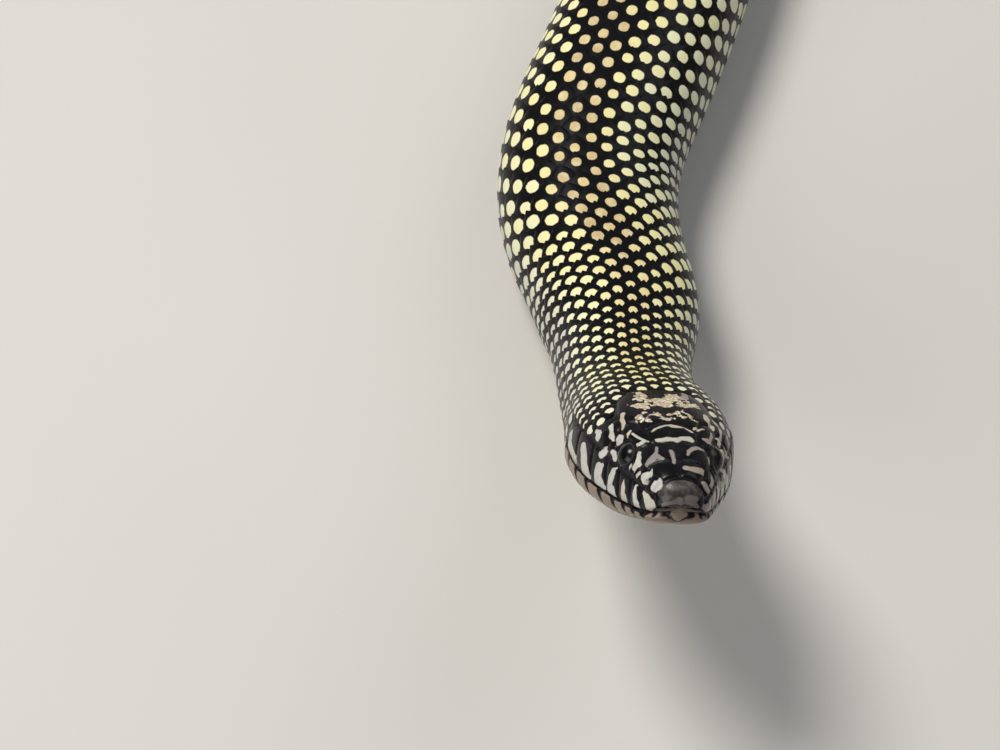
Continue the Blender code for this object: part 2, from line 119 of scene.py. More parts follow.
CHIN_PLATES = {
    "mental": [(-0.5, -0.3), (0.83, -0.3), (0.83, 0), (0.72, 0.3), (0.75, 0.62), (0.9, 0.85), (1.25, 1),
               (0.9, 1.15), (0.75, 1.38), (-0.5, 1.38)],
    "first_lower_lip": [(0.89, 0), (0.89, -0.3), (1.35, -0.3), (1.4, 0), (2.5, 0.38), (2.75, 1),
                        (1.31, 1), (0.96, 0.85), (0.81, 0.62), (0.78, 0.3)],
    "front_shield": [(2.9, 0.41), (9.3, 0.41), (10.3, 0.70), (9.4, 1), (2.9, 1)],
    "rear_shield": [(9.6, 0.42), (15.6, 0.46), (16.4, 0.72), (15.4, 1), (10.3, 1), (10.4, 0.70)],
}

# The skin's own relief.
MOUTH_GAP = 0.26 * MM
LIP_TUCK = 0.75 * MM
MOUTH_ENDS = (24, 26.5)
PLATE_RAISE = 0.17 * MM
GROOVE_DEPTH = 0.07 * MM
PLATE_SHOULDER = 0.26
PLATE_CROWN = 0.05 * MM
LIP_ROUND = 0.16 * MM
EYE_CUP, EYE_RIM, EYE_MOAT = 1.5 * MM, 0.09 * MM, 0.06 * MM
NOSTRIL_DEPTH = 0.55 * MM
UNDER_COAT = 0.38 * MM
HEAD_END = 27
# The depth of a place that lies in no plate or stroke.
OUTSIDE = -9.0

# Where the small scales begin behind the plates of the head: |q| and s.
COAT_EDGE = [(0, 21.9), (0.08, 22), (0.18, 21.6), (0.27, 20.2), (0.34, 17.4), (0.40, 15.6),
             (0.52, 15.9), (0.60, 16.5), (0.70, 16.5), (0.75, 17.8), (0.78, 21), (0.81, 24.4),
             (1, 26.2)]
JAW_COAT_EDGE = [(0, 26.8), (0.36, 26.4), (0.42, 18.5), (0.6, 17.4), (1, 17.2)]

# The lattice of the small scales.
SCALE_LENGTHS = [(14, 1.9), (22, 1.9), (26, 2.3), (31, 3.05), (36, 3.05), (42, 2.8),
                 (52, 2.9), (60, 2.75), (70, 3.3), (80, 3.4), (95, 3.2), (112, 3.4),
                 (130, 3.7), (170, 4.2), (300, 4.6), (700, 4.5), (860, 4), (915, 3.4),
                 (985, 2.6), (1060, 1.5)]
COAT_STARTS, THROAT_END = 16 * MM, 29 * MM
HALF_ROWS = [(16, 12.4), (22, 12.4), (36, 10.5), (690, 10.5), (780, 9.5), (860, 9.5),
             (915, 8.5), (935, 7.5), (985, 5.5), (1060, 3.5)]
FULL_HALF_ROWS = 10.5
OUTER_ROWS_WIDER = [(22, 0), (36, 0.55), (70, 0.62), (200, 0.7)]
BELLY_EDGE = 0.765
ROW_SHIFT = [(0, 0), (60, 0.1), (72, 0.4), (82, 1.05), (95, 1.15), (120, 0.95), (220, 0)]
SCALE_TIP, SCALE_ROOT = -0.8, 0.6
SCALE_SIDE = 0.94
TIP_LIFT, ROOT_LIFT = 0.06, -0.28
SCALE_CROWN = 0.07
SCALE_WALL = 0.2

# The pale spots, by the row's place from the back at 0 to the lowest row at 1: half width in
# rows, half length in scales, and hue from tan at 0 over yellow at 0.5 and cream at 1 to grey.
SPOT_WIDTHS = [(0, 0.39), (0.12, 0.41), (0.3, 0.48), (0.7, 0.52), (1, 0.54)]
SPOT_LENGTHS = [(0, 0.33), (0.3, 0.36), (0.7, 0.38), (1, 0.41)]
SPOT_HUES = [(0, 0.05), (0.1, 0.1), (0.2, 0.45), (0.6, 0.7), (0.85, 1), (1, 1.3)]
GREYEST = 1.5
SEED = 20

# The marks of the head, as strokes of the brush in the order they are laid: the stroke's tone, and
# its points as (s, q, half width).
# NOTCH_SHADE is painted shade: the near-black tone laid in the hollow notch above the lip at the snout's
# tip.
CREAM, TAN, DUSK, NOTCH_SHADE, CHIN_TONE = 0.0, 0.5, 1.0, 1.15, 1.5
BRUSH_EDGE = 0.16
HEAD_MARKS = [
    # The plate at the snout's tip.
    (DUSK, [(0.9, 0.6, 0.5), (1.1, 0.4, 0.6), (1, 0.2, 0.6), (0.9, 0, 0.65), (1, -0.3, 0.7),
        (0.9, -0.55, 0.6)]),
    (DUSK, [(0.5, 0.65, 0.5), (0.4, 0.33, 0.6), (0.3, -0.13, 0.75), (0.5, -0.57, 0.65)]),
    (DUSK, [(0.5, 0.1, 0.4), (0.3, -0.05, 0.42), (0.3, -0.4, 0.6)]),
    (0.85, [(0.4, 0.98, 0.3), (0.4, 0.86, 0.36), (0.2, 0.78, 0.3), (0.1, 0.6, 0.34), (0, -0.7, 0.34),
        (0.3, -0.78, 0.5), (0.4, -0.98, 0.45)]),
    (0.85, [(0, 0.6, 0.48), (0, -0.7, 0.5)]),
    (0.85, [(0.15, -0.42, 0.4), (0.3, -0.5, 0.4), (0.5, -0.63, 0.4)]),
    (0.85, [(0, 0.7, 0.34), (0.1, 1, 0.4)]),
    (0.85, [(0, -0.7, 0.34), (0.1, -1, 0.4)]),
    # Painted shade: a near-black arch in the notch above the lip on each side, where the hollow lies in
    # shadow.
    (NOTCH_SHADE, [(0.45, 0.98, 0.1), (0.2, 0.95, 0.28), (0, 0.93, 0.32)]),
    (NOTCH_SHADE, [(0.45, -0.98, 0.1), (0.2, -0.95, 0.28), (0, -0.93, 0.32)]),
    # Before the right eye.
    (CREAM, [(2.1, 0.41, 0.37), (1.9, 0.5, 0.64), (1.9, 0.58, 0.53)]),
    (CREAM, [(3.9, 0.42, 0.19), (3.7, 0.5, 0.39), (3.9, 0.59, 0.61), (3.6, 0.64, 0.35)]),
    (CREAM, [(5.2, 0.68, 0.3), (5, 0.61, 0.31)]),
    (0.1, [(7.4, 0.43, 0.27), (6.6, 0.48, 0.43), (6.2, 0.54, 0.53), (6.1, 0.63, 0.43), (5.9, 0.66, 0.23)]),
    (CREAM, [(7, 0.68, 0.28), (7, 0.64, 0.3)]),
    # The right lip.
    (0.1, [(3.2, 0.77, 0.12), (2.4, 0.81, 0.37), (1.7, 0.88, 0.55), (1.5, 0.95, 0.59)]),
    (CREAM, [(4.6, 0.78, 0.2), (4.4, 0.86, 0.39), (4.1, 0.94, 0.43), (3.7, 0.98, 0.57)]),
    (0.2, [(7.1, 0.84, 0.14), (6.9, 0.91, 0.49), (6.8, 0.97, 0.44), (6.4, 1, 0.62)]),
    (CREAM, [(9.3, 0.8, 0.16), (9.5, 0.84, 0.44), (9.7, 0.9, 0.51), (9.8, 0.96, 0.48), (9.2, 0.97, 0.48),
        (8.6, 1, 0.36)]),
    (CREAM, [(11.8, 0.86, 0.25), (12.4, 0.91, 0.78), (12.5, 0.95, 0.83), (12.3, 0.97, 0.67),
        (11, 1, 0.4)]),
    (CREAM, [(17.2, 0.83, 0.26), (16.9, 0.86, 0.81), (16.2, 0.92, 0.94), (15.9, 0.96, 0.89),
        (14.8, 0.99, 0.48)]),
    (0.1, [(22.1, 0.84, 0.26), (22.3, 0.92, 0.94), (22.2, 0.96, 0.94), (19.9, 0.98, 0.63),
        (18.6, 0.99, 0.3)]),
    # Behind the right eye.
    (CREAM, [(10.8, 0.69, 0.43), (10.3, 0.72, 0.55)]),
    (CREAM, [(11.4, 0.48, 0.4), (11.1, 0.53, 0.52), (11, 0.58, 0.31)]),
    (CREAM, [(12.6, 0.78, 0.62), (12.3, 0.72, 0.5)]),
    (CREAM, [(14.2, 0.49, 0.5), (13.4, 0.52, 0.51), (12.9, 0.56, 0.5), (12.2, 0.58, 0.36)]),
    (CREAM, [(15.9, 0.65, 0.41), (15.3, 0.64, 0.59), (14.9, 0.67, 0.79), (14.5, 0.69, 0.4)]),
    # Over the right eye.
    (0.3, [(15, 0.31, 0.38), (14.2, 0.35, 0.38), (13.3, 0.36, 0.31), (12.4, 0.41, 0.23)]),
    (0.3, [(11.1, 0.35, 0.19), (10.8, 0.4, 0.26), (10.6, 0.43, 0.14)]),
    (0.1, [(10.4, 0.35, 0.18), (9.5, 0.33, 0.23), (8.7, 0.29, 0.26), (8.4, 0.24, 0.19)]),
    (0.1, [(8.4, 0.28, 0.23), (8.4, 0.35, 0.29), (8.4, 0.41, 0.18)]),
    # The plate between the eyes.
    (0.15, [(8.1, 0.15, 0.22), (8, 0.09, 0.31), (8.2, 0.02, 0.34), (8, -0.01, 0.26), (8.4, -0.05, 0.34),
        (8.4, -0.11, 0.49), (8.2, -0.15, 0.31)]),
    (0.25, [(9.7, 0.15, 0.14), (10.3, 0.1, 0.2), (10.7, 0.05, 0.21), (11.1, 0.02, 0.27), (11.2, 0, 0.25),
        (10.7, -0.01, 0.22), (10.9, -0.07, 0.31), (10.5, -0.1, 0.26), (10, -0.14, 0.2)]),
    # Over the left eye.
    (0.28, [(10.9, -0.16, 0.2), (11.1, -0.2, 0.33), (11.4, -0.27, 0.15)]),
    (0.6, [(9.3, -0.28, 0.22), (9.4, -0.34, 0.47), (9.6, -0.4, 0.48), (9.6, -0.46, 0.26)]),
    (0.6, [(10, -0.39, 0.39), (10.9, -0.38, 0.31), (11.3, -0.37, 0.25)]),
    # The plates before it.
    (0.7, [(6.7, 0.19, 0.23), (6, 0.22, 0.23), (5.4, 0.26, 0.48), (5.1, 0.36, 0.46), (5, 0.45, 0.28)]),
    (0.7, [(5.5, 0.25, 0.4), (5, 0.21, 0.32), (4.7, 0.17, 0.2)]),
    (0.65, [(5.9, 0.04, 0.25), (5.2, 0.04, 0.23), (4.5, 0.04, 0.25), (3.7, 0.05, 0.15)]),
    (0.62, [(5.3, -0.1, 0.2), (6, -0.12, 0.3), (6.6, -0.16, 0.4), (7.1, -0.22, 0.34), (7.3, -0.32, 0.27)]),
    # Before the left eye.
    (0.6, [(3.1, -0.07, 0.35), (3.1, -0.15, 0.39), (3.2, -0.26, 0.49), (3.6, -0.38, 0.52)]),
    (0.62, [(2.4, -0.5, 0.42), (2.3, -0.59, 0.42), (2.5, -0.67, 0.42)]),
    (0.62, [(4.6, -0.63, 0.42), (4.3, -0.66, 0.42), (3.9, -0.68, 0.42)]),
    (0.6, [(6.6, -0.44, 0.3), (6.1, -0.48, 0.42)]),
    # The left lip.
    (0.62, [(4.5, -0.83, 0.22), (4.2, -0.87, 0.5), (2.6, -0.9, 0.5), (1.5, -0.93, 0.5)]),
    (0.62, [(6, -0.83, 0.22), (6.8, -0.92, 0.5), (7.7, -0.98, 0.5)]),
    (0.62, [(8, -0.86, 0.22), (8.7, -0.9, 0.5), (9.8, -0.96, 0.5)]),
    (0.28, [(9.4, -0.76, 0.22), (10, -0.84, 0.5), (11.6, -0.94, 0.5), (11.7, -0.96, 0.5)]),
    (0.28, [(12.9, -0.86, 0.22), (13.9, -0.92, 0.5)]),
    (0.28, [(17.6, -0.84, 0.3), (16.9, -0.9, 0.8), (16.3, -0.96, 0.7), (15.4, -0.99, 0.4)]),
    (0.28, [(22.2, -0.86, 0.3), (22.1, -0.92, 0.85), (21.3, -0.97, 0.8), (19.6, -0.99, 0.4)]),
    # Behind the left eye.
    (0.28, [(10.9, -0.62, 0.27), (10.8, -0.67, 0.42), (10.5, -0.7, 0.41)]),
    (0.28, [(11.6, -0.47, 0.25), (11.3, -0.53, 0.42), (11.2, -0.57, 0.26)]),
    (0.28, [(12.1, -0.64, 0.42), (12.3, -0.71, 0.42), (12.8, -0.76, 0.4)]),
    (0.28, [(15, -0.28, 0.44), (14.2, -0.3, 0.67), (13.5, -0.35, 0.52), (13, -0.4, 0.22)]),
    (0.28, [(15.9, -0.66, 0.4), (15, -0.66, 0.6), (14.4, -0.69, 0.3)]),
    (0.28, [(15.5, -0.4, 0.41), (14.9, -0.45, 0.42), (13.9, -0.49, 0.42), (12.8, -0.54, 0.42)]),
    # The front of the crown.
    (0.45, [(13.6, 0.11, 0.2), (13.7, 0.07, 0.3), (13.8, 0.05, 0.5), (13, 0.05, 0.23)]),
    (0.45, [(13, 0.01, 0.42), (12.8, 0.01, 0.41)]),
    (0.45, [(14.1, 0, 0.28), (13.8, -0.01, 0.45), (14.1, -0.03, 0.34), (13.7, -0.05, 0.44),
        (13.2, -0.08, 0.49), (12.8, -0.1, 0.34)]),
    (TAN, [(14, -0.11, 0.2), (13.3, -0.13, 0.31), (12.6, -0.16, 0.36), (12.4, -0.19, 0.26)]),
    (0.45, [(15.3, -0.05, 0.23), (14.8, -0.08, 0.32)]),
    (0.45, [(14.1, 0.12, 0.24), (13.8, 0.16, 0.38), (13, 0.21, 0.42), (12.7, 0.23, 0.22)]),
    (0.45, [(12.5, 0.16, 0.53), (12.5, 0.13, 0.38), (11.5, 0.15, 0.18)]),
    # The rear of the crown.
    (TAN, [(20.1, 0.11, 0.51), (19.2, 0.09, 0.85), (18.5, 0.07, 0.34), (18.1, 0.11, 0.82)]),
    (0.45, [(17.1, 0.23, 0.2), (16.6, 0.2, 0.43), (16.5, 0.16, 0.66), (16.1, 0.12, 0.85),
        (15.8, 0.09, 0.75), (16.8, 0.07, 0.29), (18, 0.07, 0.46)]),
    (TAN, [(16.4, 0.03, 0.36), (17.5, 0.02, 0.78), (18.1, 0, 0.82), (16.7, 0, 0.69), (16.7, -0.02, 0.52)]),
    (TAN, [(18.8, -0.03, 0.8), (19.4, -0.06, 0.85), (19, -0.09, 0.85), (18.2, -0.11, 0.4),
        (17, -0.07, 0.58)]),
    (0.65, [(22.3, -0.15, 0.23), (20.6, -0.14, 0.37), (19.1, -0.13, 0.41)]),
    (0.45, [(16.7, -0.11, 0.76), (16.8, -0.15, 0.72), (17.1, -0.18, 0.85), (17.1, -0.22, 0.46)]),
]

FLESH_NODES = ["head", "lower_jaw", "neck", *[f"trunk_{i}" for i in range(1, 10)], "tail_base",
               "tail_tip"]


def spline(knots, values, first_slope=None):
    """A curve of smooth bend through the values, as a function of the knots' measure."""
    k = np.asarray(knots, float)
    v = np.asarray(values, float).reshape(len(k), -1)
    h = np.diff(k)
    steps = np.diff(v, axis=0) / h[:, None]
    n = len(k)
    matrix = np.eye(n)
    right = np.zeros_like(v)
    for i in range(1, n - 1):
        matrix[i, i - 1:i + 2] = h[i - 1], 2 * (h[i - 1] + h[i]), h[i]
        right[i] = 6 * (steps[i] - steps[i - 1])
    if first_slope is not None:
        matrix[0, :2] = 2 * h[0], h[0]
        right[0] = 6 * (steps[0] - np.asarray(first_slope, float))
    bend = np.linalg.solve(matrix, right)

    def at(t):
        t = np.clip(np.atleast_1d(np.asarray(t, float)), k[0], k[-1])
        i = np.clip(np.searchsorted(k, t) - 1, 0, n - 2)
        b = ((t - k[i]) / h[i])[:, None]
        a = 1 - b
        curve = (a ** 3 - a) * bend[i] + (b ** 3 - b) * bend[i + 1]
        return a * v[i] + b * v[i + 1] + curve * (h[i] ** 2)[:, None] / 6

    return at


def read(table, s):
    """A table's value at s, straight between its rows."""
    places, values = zip(*table)
    return np.interp(s, places, values)


def run_along(steps):
    """The way covered after each step, from 0."""
    return np.concatenate([[0.0], np.cumsum(steps)])


def ease(low, high, value):
    """0 at low and 1 at high, with a smooth rise between."""
    t = np.clip((value - low) / (high - low), 0, 1)
    return t * t * (3 - 2 * t)


form_curve = spline([math.sqrt(row[0]) for row in FORM], [row[1:] for row in FORM])


def form(s):
    """Half width, height and depth of the section at each s, in metres."""
    s = np.asarray(s, float)
    row = form_curve(np.sqrt(np.maximum(s.ravel(), 0) / MM)) * MM
    return [row[:, i].reshape(s.shape) for i in range(3)]


class Spine:
    """The snake's middle line with its right and its back, kept as a fine table along it."""

    STEP = 0.25 * MM
    CLOSE_BY = 0.4 * MM

    def __init__(self):
        flat = math.cos(HEAD_PITCH)
        self.forward = np.array((flat * math.sin(HEAD_YAW), -flat * math.cos(HEAD_YAW),
                                 math.sin(HEAD_PITCH)))
        points = [np.array(p) * MM for p in (JOINT, *NECK_ROUTE)]
        way = HEAD_LENGTH + sum(np.linalg.norm(b - a) for a, b in zip(points, points[1:]))
        for x, y in FLOOR_ROUTE:
            spot = np.array((x, y, 0.0)) * MM
            way += np.linalg.norm(spot[:2] - points[-1][:2])
            spot[2] = BELLY_SINK * form(way)[2]
            points.append(spot)
        points = np.array(points) + PLACE
        knots = run_along(np.linalg.norm(np.diff(points, axis=0), axis=1))
        self.line = spline(knots, points, -self.forward)(np.linspace(0, knots[-1], 8001))
        self.way = run_along(np.linalg.norm(np.diff(self.line, axis=0), axis=1))
        self.length = HEAD_LENGTH + self.way[-1]
        s = np.arange(0.0, self.length + self.STEP, self.STEP)
        self.table = np.concatenate(self.frame(s), axis=1)

    def point(self, s):
        behind = np.asarray(s) - HEAD_LENGTH
        spot = np.stack([np.interp(behind, self.way, self.line[:, i]) for i in range(3)], 1)
        return spot - np.minimum(behind, 0)[:, None] * self.forward

    def frame(self, s):
        """The middle, the snake's right and its back at each s."""
        behind = self.point(np.minimum(s + self.CLOSE_BY, self.length))
        forward = self.point(s - self.CLOSE_BY) - behind
        forward[s <= HEAD_LENGTH] = self.forward
        forward /= np.linalg.norm(forward, axis=1)[:, None]
        up = np.array((0, 0, 1)) - forward * forward[:, 2:]
        up /= np.linalg.norm(up, axis=1)[:, None]
        side = np.cross(forward, up)
        roll = (HEAD_ROLL * ease(0, 1, (ROLL_ENDS - s) / (ROLL_ENDS - HEAD_LENGTH)))[:, None]
        turned = up * np.cos(roll) + side * np.sin(roll)
        return self.point(s), np.cross(forward, turned), turned

    def at(self, s):
        i = np.clip(s / self.STEP, 0, len(self.table) - 1.001)
        k = i.astype(int)
        part = (i - k)[:, None]
        row = self.table[k] * (1 - part) + self.table[k + 1] * part
        return row[:, :3], row[:, 3:6], row[:, 6:]


spine = Spine()


def section(s, angle):
    """x and z of the section at an angle from the back, to the right when positive."""
    half, height, depth = form(s)
    over = np.cos(angle) > 0
    power = 2 / np.where(over, read(BACK_SQUARENESS, s / MM), BELLY_SQUARENESS)
    across = np.sign(np.sin(angle)) * np.abs(np.sin(angle)) ** power
    return half * across, np.where(over, height, -depth) * np.abs(np.cos(angle)) ** power


def angle_of_height(s, z):
    """The angle on the right side where the section passes the height z."""
    _, height, depth = form(s)
    over = np.arccos(np.clip(z / height, 0, 1) ** (read(BACK_SQUARENESS, s / MM) / 2))
    under = math.pi - np.arccos(np.clip(-z / depth, 0, 1) ** (BELLY_SQUARENESS / 2))
    return np.where(z >= 0, over, under)


def lip_angle(s):
    return angle_of_height(s, read(MOUTH_LINE, s / MM) * MM)


def mouth_share(s):
    """1 along the mouth, falling to 0 behind its corner."""
    return 1 - ease(*MOUTH_ENDS, s / MM)


def body_outline(s, angle):
    """The section with the jaw drawn in under the lip."""
    x, z = section(s, angle)
    half = np.maximum(form(s)[0], 0.5 * MM)
    below = np.clip((np.abs(angle) - lip_angle(s)) / 0.06, 0, 1)
    return x * (1 - below * mouth_share(s) * JAW_INSET / half), z


def in_place(s, x, z):
    """Points at x and z of the section at s, kept over the floor."""
    middle, right, up = spine.at(s)
    spot = middle + right * x[:, None] + up * z[:, None]
    spot[:, 2] = np.maximum(spot[:, 2], 0)
    return spot


def on_body(s, angle, lift=0.0):
    """Points on the skin, raised square to it by the lift."""
    x, z = body_outline(s, angle)
    x1, z1 = body_outline(s, angle + 0.02)
    x0, z0 = body_outline(s, angle - 0.02)
    run = np.hypot(x1 - x0, z1 - z0) + 1e-9
    return in_place(s, x - (z1 - z0) / run * lift, z + (x1 - x0) / run * lift)


class Girth:
    """The way round the body: 0 at the middle of the back, 1 at the middle of the belly."""

    ALONG = 4 * MM
    STEPS = 120

    def __init__(self):
        angles = np.linspace(0, math.pi, 481)
        self.start = 0.5 * MM
        rows = []
        for s in np.arange(self.start, spine.length + self.ALONG, self.ALONG):
            x, z = section(np.full(len(angles), s), angles)
            way = run_along(np.hypot(np.diff(x), np.diff(z)))
            rows.append(np.interp(np.linspace(0, way[-1], self.STEPS + 1), way, angles))
        self.angles = np.array(rows)

    def angle(self, s, girth):
        i = np.clip((s - self.start) / self.ALONG, 0, len(self.angles) - 1.001)
        j = np.clip(np.abs(girth) * self.STEPS, 0, self.STEPS - 0.001)
        a, b = i.astype(int), j.astype(int)
        u, v = i - a, j - b
        t = self.angles
        near = t[a, b] * (1 - v) + t[a, b + 1] * v
        far = t[a + 1, b] * (1 - v) + t[a + 1, b + 1] * v
        return np.sign(girth) * (near * (1 - u) + far * u)


girth = Girth()


class Count:
    """How many scales lie along the snake up to s."""

    def __init__(self):
        self.s = np.arange(COAT_STARTS, spine.length, 0.5 * MM)
        gaps = 1 / (read(SCALE_LENGTHS, self.s / MM) * MM)
        self.n = run_along((gaps[1:] + gaps[:-1]) / 2 * 0.5 * MM)

    def s_at(self, n):
        first = read(SCALE_LENGTHS, COAT_STARTS / MM) * MM
        return np.interp(n, self.n, self.s) + np.minimum(n, 0) * first

    def at(self, s):
        return float(np.interp(s, self.s, self.n))


count = Count()


def side_length(s):
    """From the middle of the back to the lip over the skin, by s in millimetres."""
    table = []
    stops = np.concatenate([np.arange(0.05, 3, 0.15), np.arange(3, 31, 0.7)])
    for stop in stops:
        angles = np.linspace(0, 1, 60) * lip_angle(np.full(60, stop * MM))
        x, z = section(np.full(60, stop * MM), angles)
        table.append(np.hypot(np.diff(x), np.diff(z)).sum() / MM)
    return np.interp(s, stops, table)


def off_line(ahead, over, run, rise):
    """How far along a line each place lies, from 0 to 1, and how far off it."""
    t = np.clip((ahead * run + over * rise) / (run * run + rise * rise + 1e-9), 0, 1)
    return t, np.hypot(ahead - t * run, over - t * rise)


def depth_in_plate(s, q, wide, corners):
    """How far inside the plate's border each place lies, in millimetres, negative outside."""
    inside = np.zeros(s.shape, bool)
    nearest = np.full(s.shape, 9.0)
    for (s0, q0), (s1, q1) in zip(corners, corners[1:] + corners[:1]):
        crosses = (q0 > q) != (q1 > q)
        inside ^= crosses & (s < s0 + (q - q0) / (q1 - q0 + 1e-9) * (s1 - s0))
        _, away = off_line(s - s0, (q - q0) * wide, s1 - s0, (q1 - q0) * wide)
        nearest = np.minimum(nearest, away)
    return np.where(inside, nearest, -nearest)


def snout_way(s):
    """The way over the snout's curve, longer than s where the snout turns down."""
    stops = np.linspace(0, 31, 400)
    half = form(stops * MM)[0] / MM
    way = run_along(np.hypot(np.diff(stops), 0.75 * np.diff(half)))
    return np.interp(s, stops, way)


def depth_in_stroke(s, q, wide, stroke):
    """How far inside a stroke each place lies, in millimetres, negative outside."""
    way = snout_way(s)
    best = np.full(s.shape, OUTSIDE)
    for (s0, q0, r0), (s1, q1, r1) in zip(stroke, stroke[1:]):
        w0, w1 = float(snout_way(s0)), float(snout_way(s1))
        t, away = off_line(way - w0, (q - q0) * wide, w1 - w0, (q1 - q0) * wide)
        best = np.maximum(best, r0 + (r1 - r0) * t - away)
    return best


def mirrored(corners):
    return [(s, -q) for s, q in reversed(corners)]


def head_plates():
    for corners in MIDDLE_PLATES.values():
        yield corners + [(s, -q) for s, q in reversed(corners) if q]
    for corners in SIDE_PLATES.values():
        yield corners
        yield mirrored(corners)
    for i, (front, rear) in enumerate(zip(LIP_PARTINGS, LIP_PARTINGS[1:])):
        tops = LIP_PLATE_TOPS[i], LIP_PLATE_TOPS[i + 1]
        lip = [(front, tops[0]), (rear, tops[1]), (rear - LIP_SLOPE, 1.02), (front - LIP_SLOPE, 1.02)]
        yield lip
        yield mirrored(lip)


def jaw_plates():
    low, high = LOWER_LIP_BAND
    for front, rear in zip(LOWER_LIP_PARTINGS, LOWER_LIP_PARTINGS[1:]):
        yield [(front, low), (rear, low), (rear, high), (front, high)]
    yield from CHIN_PLATES.values()


def deepest(s, q, wide, plates):
    """How far inside any of the plates each place lies."""
    best = np.full(s.shape, OUTSIDE)
    for corners in plates:
        best = np.maximum(best, depth_in_plate(s, q, wide, corners))
    return best


# The skin's grid: how its columns lie over one side and its rows along the snake.
UPPER_COLUMNS, JAW_COLUMNS = 78, 28
SNOUT_ROOT_STEP = 0.05
HEAD_STEP, NAPE_STEP, NECK_STEP, TRUNK_STEP = 0.165, 0.5, 2.0, 6.0


def skin_rows():
    """The rows' s in millimetres: close at the snout, wider along the body."""
    snout = np.arange(0, 1.6, SNOUT_ROOT_STEP) ** 2
    parts = [snout, np.arange(snout[-1] + HEAD_STEP, 22, HEAD_STEP), np.arange(22, 30, NAPE_STEP),
             np.arange(30, 130, NECK_STEP), np.arange(130, spine.length / MM - 3, TRUNK_STEP),
             [spine.length / MM]]
    return np.concatenate(parts)


def skin_columns():
    """From the middle of the back over the right side to the chin and back: side, jaw, q, tuck."""
    side = [(0, q, 0) for q in np.linspace(0, 1, UPPER_COLUMNS + 1)]
    side += [(0, 1, 1), (1, 0, 1)]
    side += [(1, q, 0) for q in np.linspace(0, 1, JAW_COLUMNS + 1)]
    right = [(1, *column) for column in side]
    left = [(-1, *column) for column in reversed(side[:-1])]
    return np.array(right + left, float).T


def jaw_way(s_mm):
    """The jaw starts a little behind the snout, so its rows are set back there."""
    return s_mm + CHIN_FRONT / MM * np.exp(-s_mm / 1.1)


def skin_surface(s_mm, way, jaw, q, tuck):
    """The plain skin over the grid, before any relief."""
    s = s_mm * MM
    mouth = mouth_share(s)
    near_tip = np.exp(-s / (2 * MM))
    s = np.where(jaw > 0, jaw_way(s_mm) * MM, s)
    s = s + tuck * LIP_TUCK * near_tip * mouth
    line = read(MOUTH_LINE, s / MM) * MM - jaw * MOUTH_GAP * mouth * (0.3 + 0.7 * ease(1, 6, s / MM))
    lip = angle_of_height(s, line)
    spread = 0.03 * (1 - mouth) * (1 - tuck * 0.66)
    angle = np.where(jaw > 0, lip + spread + (math.pi - lip - spread) * q, (lip - spread) * q)
    x, z = section(s, angle)
    half = np.maximum(form(s)[0], 0.1 * MM)
    short = np.clip((CHIN_ROUND - s) / (CHIN_ROUND - CHIN_FRONT), 0, 1)
    curl = np.where(jaw > 0, np.sqrt(1 - short * short), 1.0)
    x = x * np.where(jaw > 0, (1 - JAW_INSET * mouth / half).clip(0), 1) * curl
    z = np.where(jaw > 0, line + (z - line) * curl, z)
    x = np.maximum(x - tuck * LIP_TUCK * (1 - near_tip) * mouth, 0) * way
    return in_place(s.ravel(), x.ravel(), z.ravel()).reshape(*s_mm.shape, 3)


def outward(grid):
    """Unit normals of the grid, the same on both sides of its seam."""
    along = np.gradient(grid, axis=0)
    across = np.gradient(grid, axis=1)
    across[:, 0] = across[:, -1] = grid[:, 1] - grid[:, -2]
    normal = np.cross(along, across)
    normal /= np.linalg.norm(normal, axis=2)[..., None] + 1e-12
    middle = grid.mean(axis=1, keepdims=True)
    return normal * np.sign(((grid - middle) * normal).sum(axis=2).mean())


def on_head(s_mm, q):
    """One place on the upper head with its outward normal."""
    step = 0.1
    s = np.array([s_mm, s_mm + step, s_mm, s_mm - step, s_mm]) * MM
    turn = np.array([q, q, q + 0.01, q, q - 0.01]) * lip_angle(s)
    spots = on_body(s, turn)
    normal = np.cross(spots[1] - spots[3], spots[2] - spots[4])
    normal /= np.linalg.norm(normal)
    away = spots[0] - spine.at(s[:1])[0][0]
    return spots[0], normal * np.sign(normal @ away)


def eye_place(way):
    spot, normal = on_head(EYE_AT[0], EYE_AT[1] * way)
    return spot - normal * EYE_DEPTH, normal


def open_head(grid, lift, jaw):
    """Sinks the eyes' cups, each with a rim and a moat, and the nostrils into the relief."""
    opening = math.sqrt(EYE_RADIUS ** 2 - EYE_DEPTH ** 2)
    for side in (1, -1):
        centre, axis = eye_place(side)
        away = grid - centre
        high = away @ axis
        r = np.linalg.norm(away - high[..., None] * axis, axis=2)
        near = (high > -0.5 * MM) & (r < 3 * MM) & (jaw < 1)
        cup = 1 - ease(0.86, 1.02, r / opening)
        rim = np.exp(-((r / opening - 1.13) / 0.09) ** 2)
        moat = np.exp(-((r / opening - 1.32) / 0.06) ** 2)
        lift = np.where(near, lift * (1 - cup) - EYE_CUP * cup + EYE_RIM * rim - EYE_MOAT * moat, lift)
        centre, axis = on_head(NOSTRIL_AT[0], NOSTRIL_AT[1] * side)
        r = np.linalg.norm(grid - centre, axis=2) / NOSTRIL_RADIUS
        lift = lift - NOSTRIL_DEPTH * (1 - ease(0.55, 1.0, r)) * (jaw < 1)
    return lift


def paint_head(s_mm, signed, wide, jaw):
    """How deep each place lies in a mark of the upper head, and the tone of the marks there."""
    mark = np.full(s_mm.shape, OUTSIDE)
    tone = np.zeros(s_mm.shape)
    for stroke_tone, stroke in HEAD_MARKS:
        depth = np.where(jaw > 0, OUTSIDE, depth_in_stroke(s_mm, signed, wide, stroke))
        over = np.where(mark > 0, (0.5 + depth / BRUSH_EDGE).clip(0, 1), depth > mark)
        tone += (stroke_tone - tone) * over
        mark = np.maximum(mark, depth)
    return mark, tone


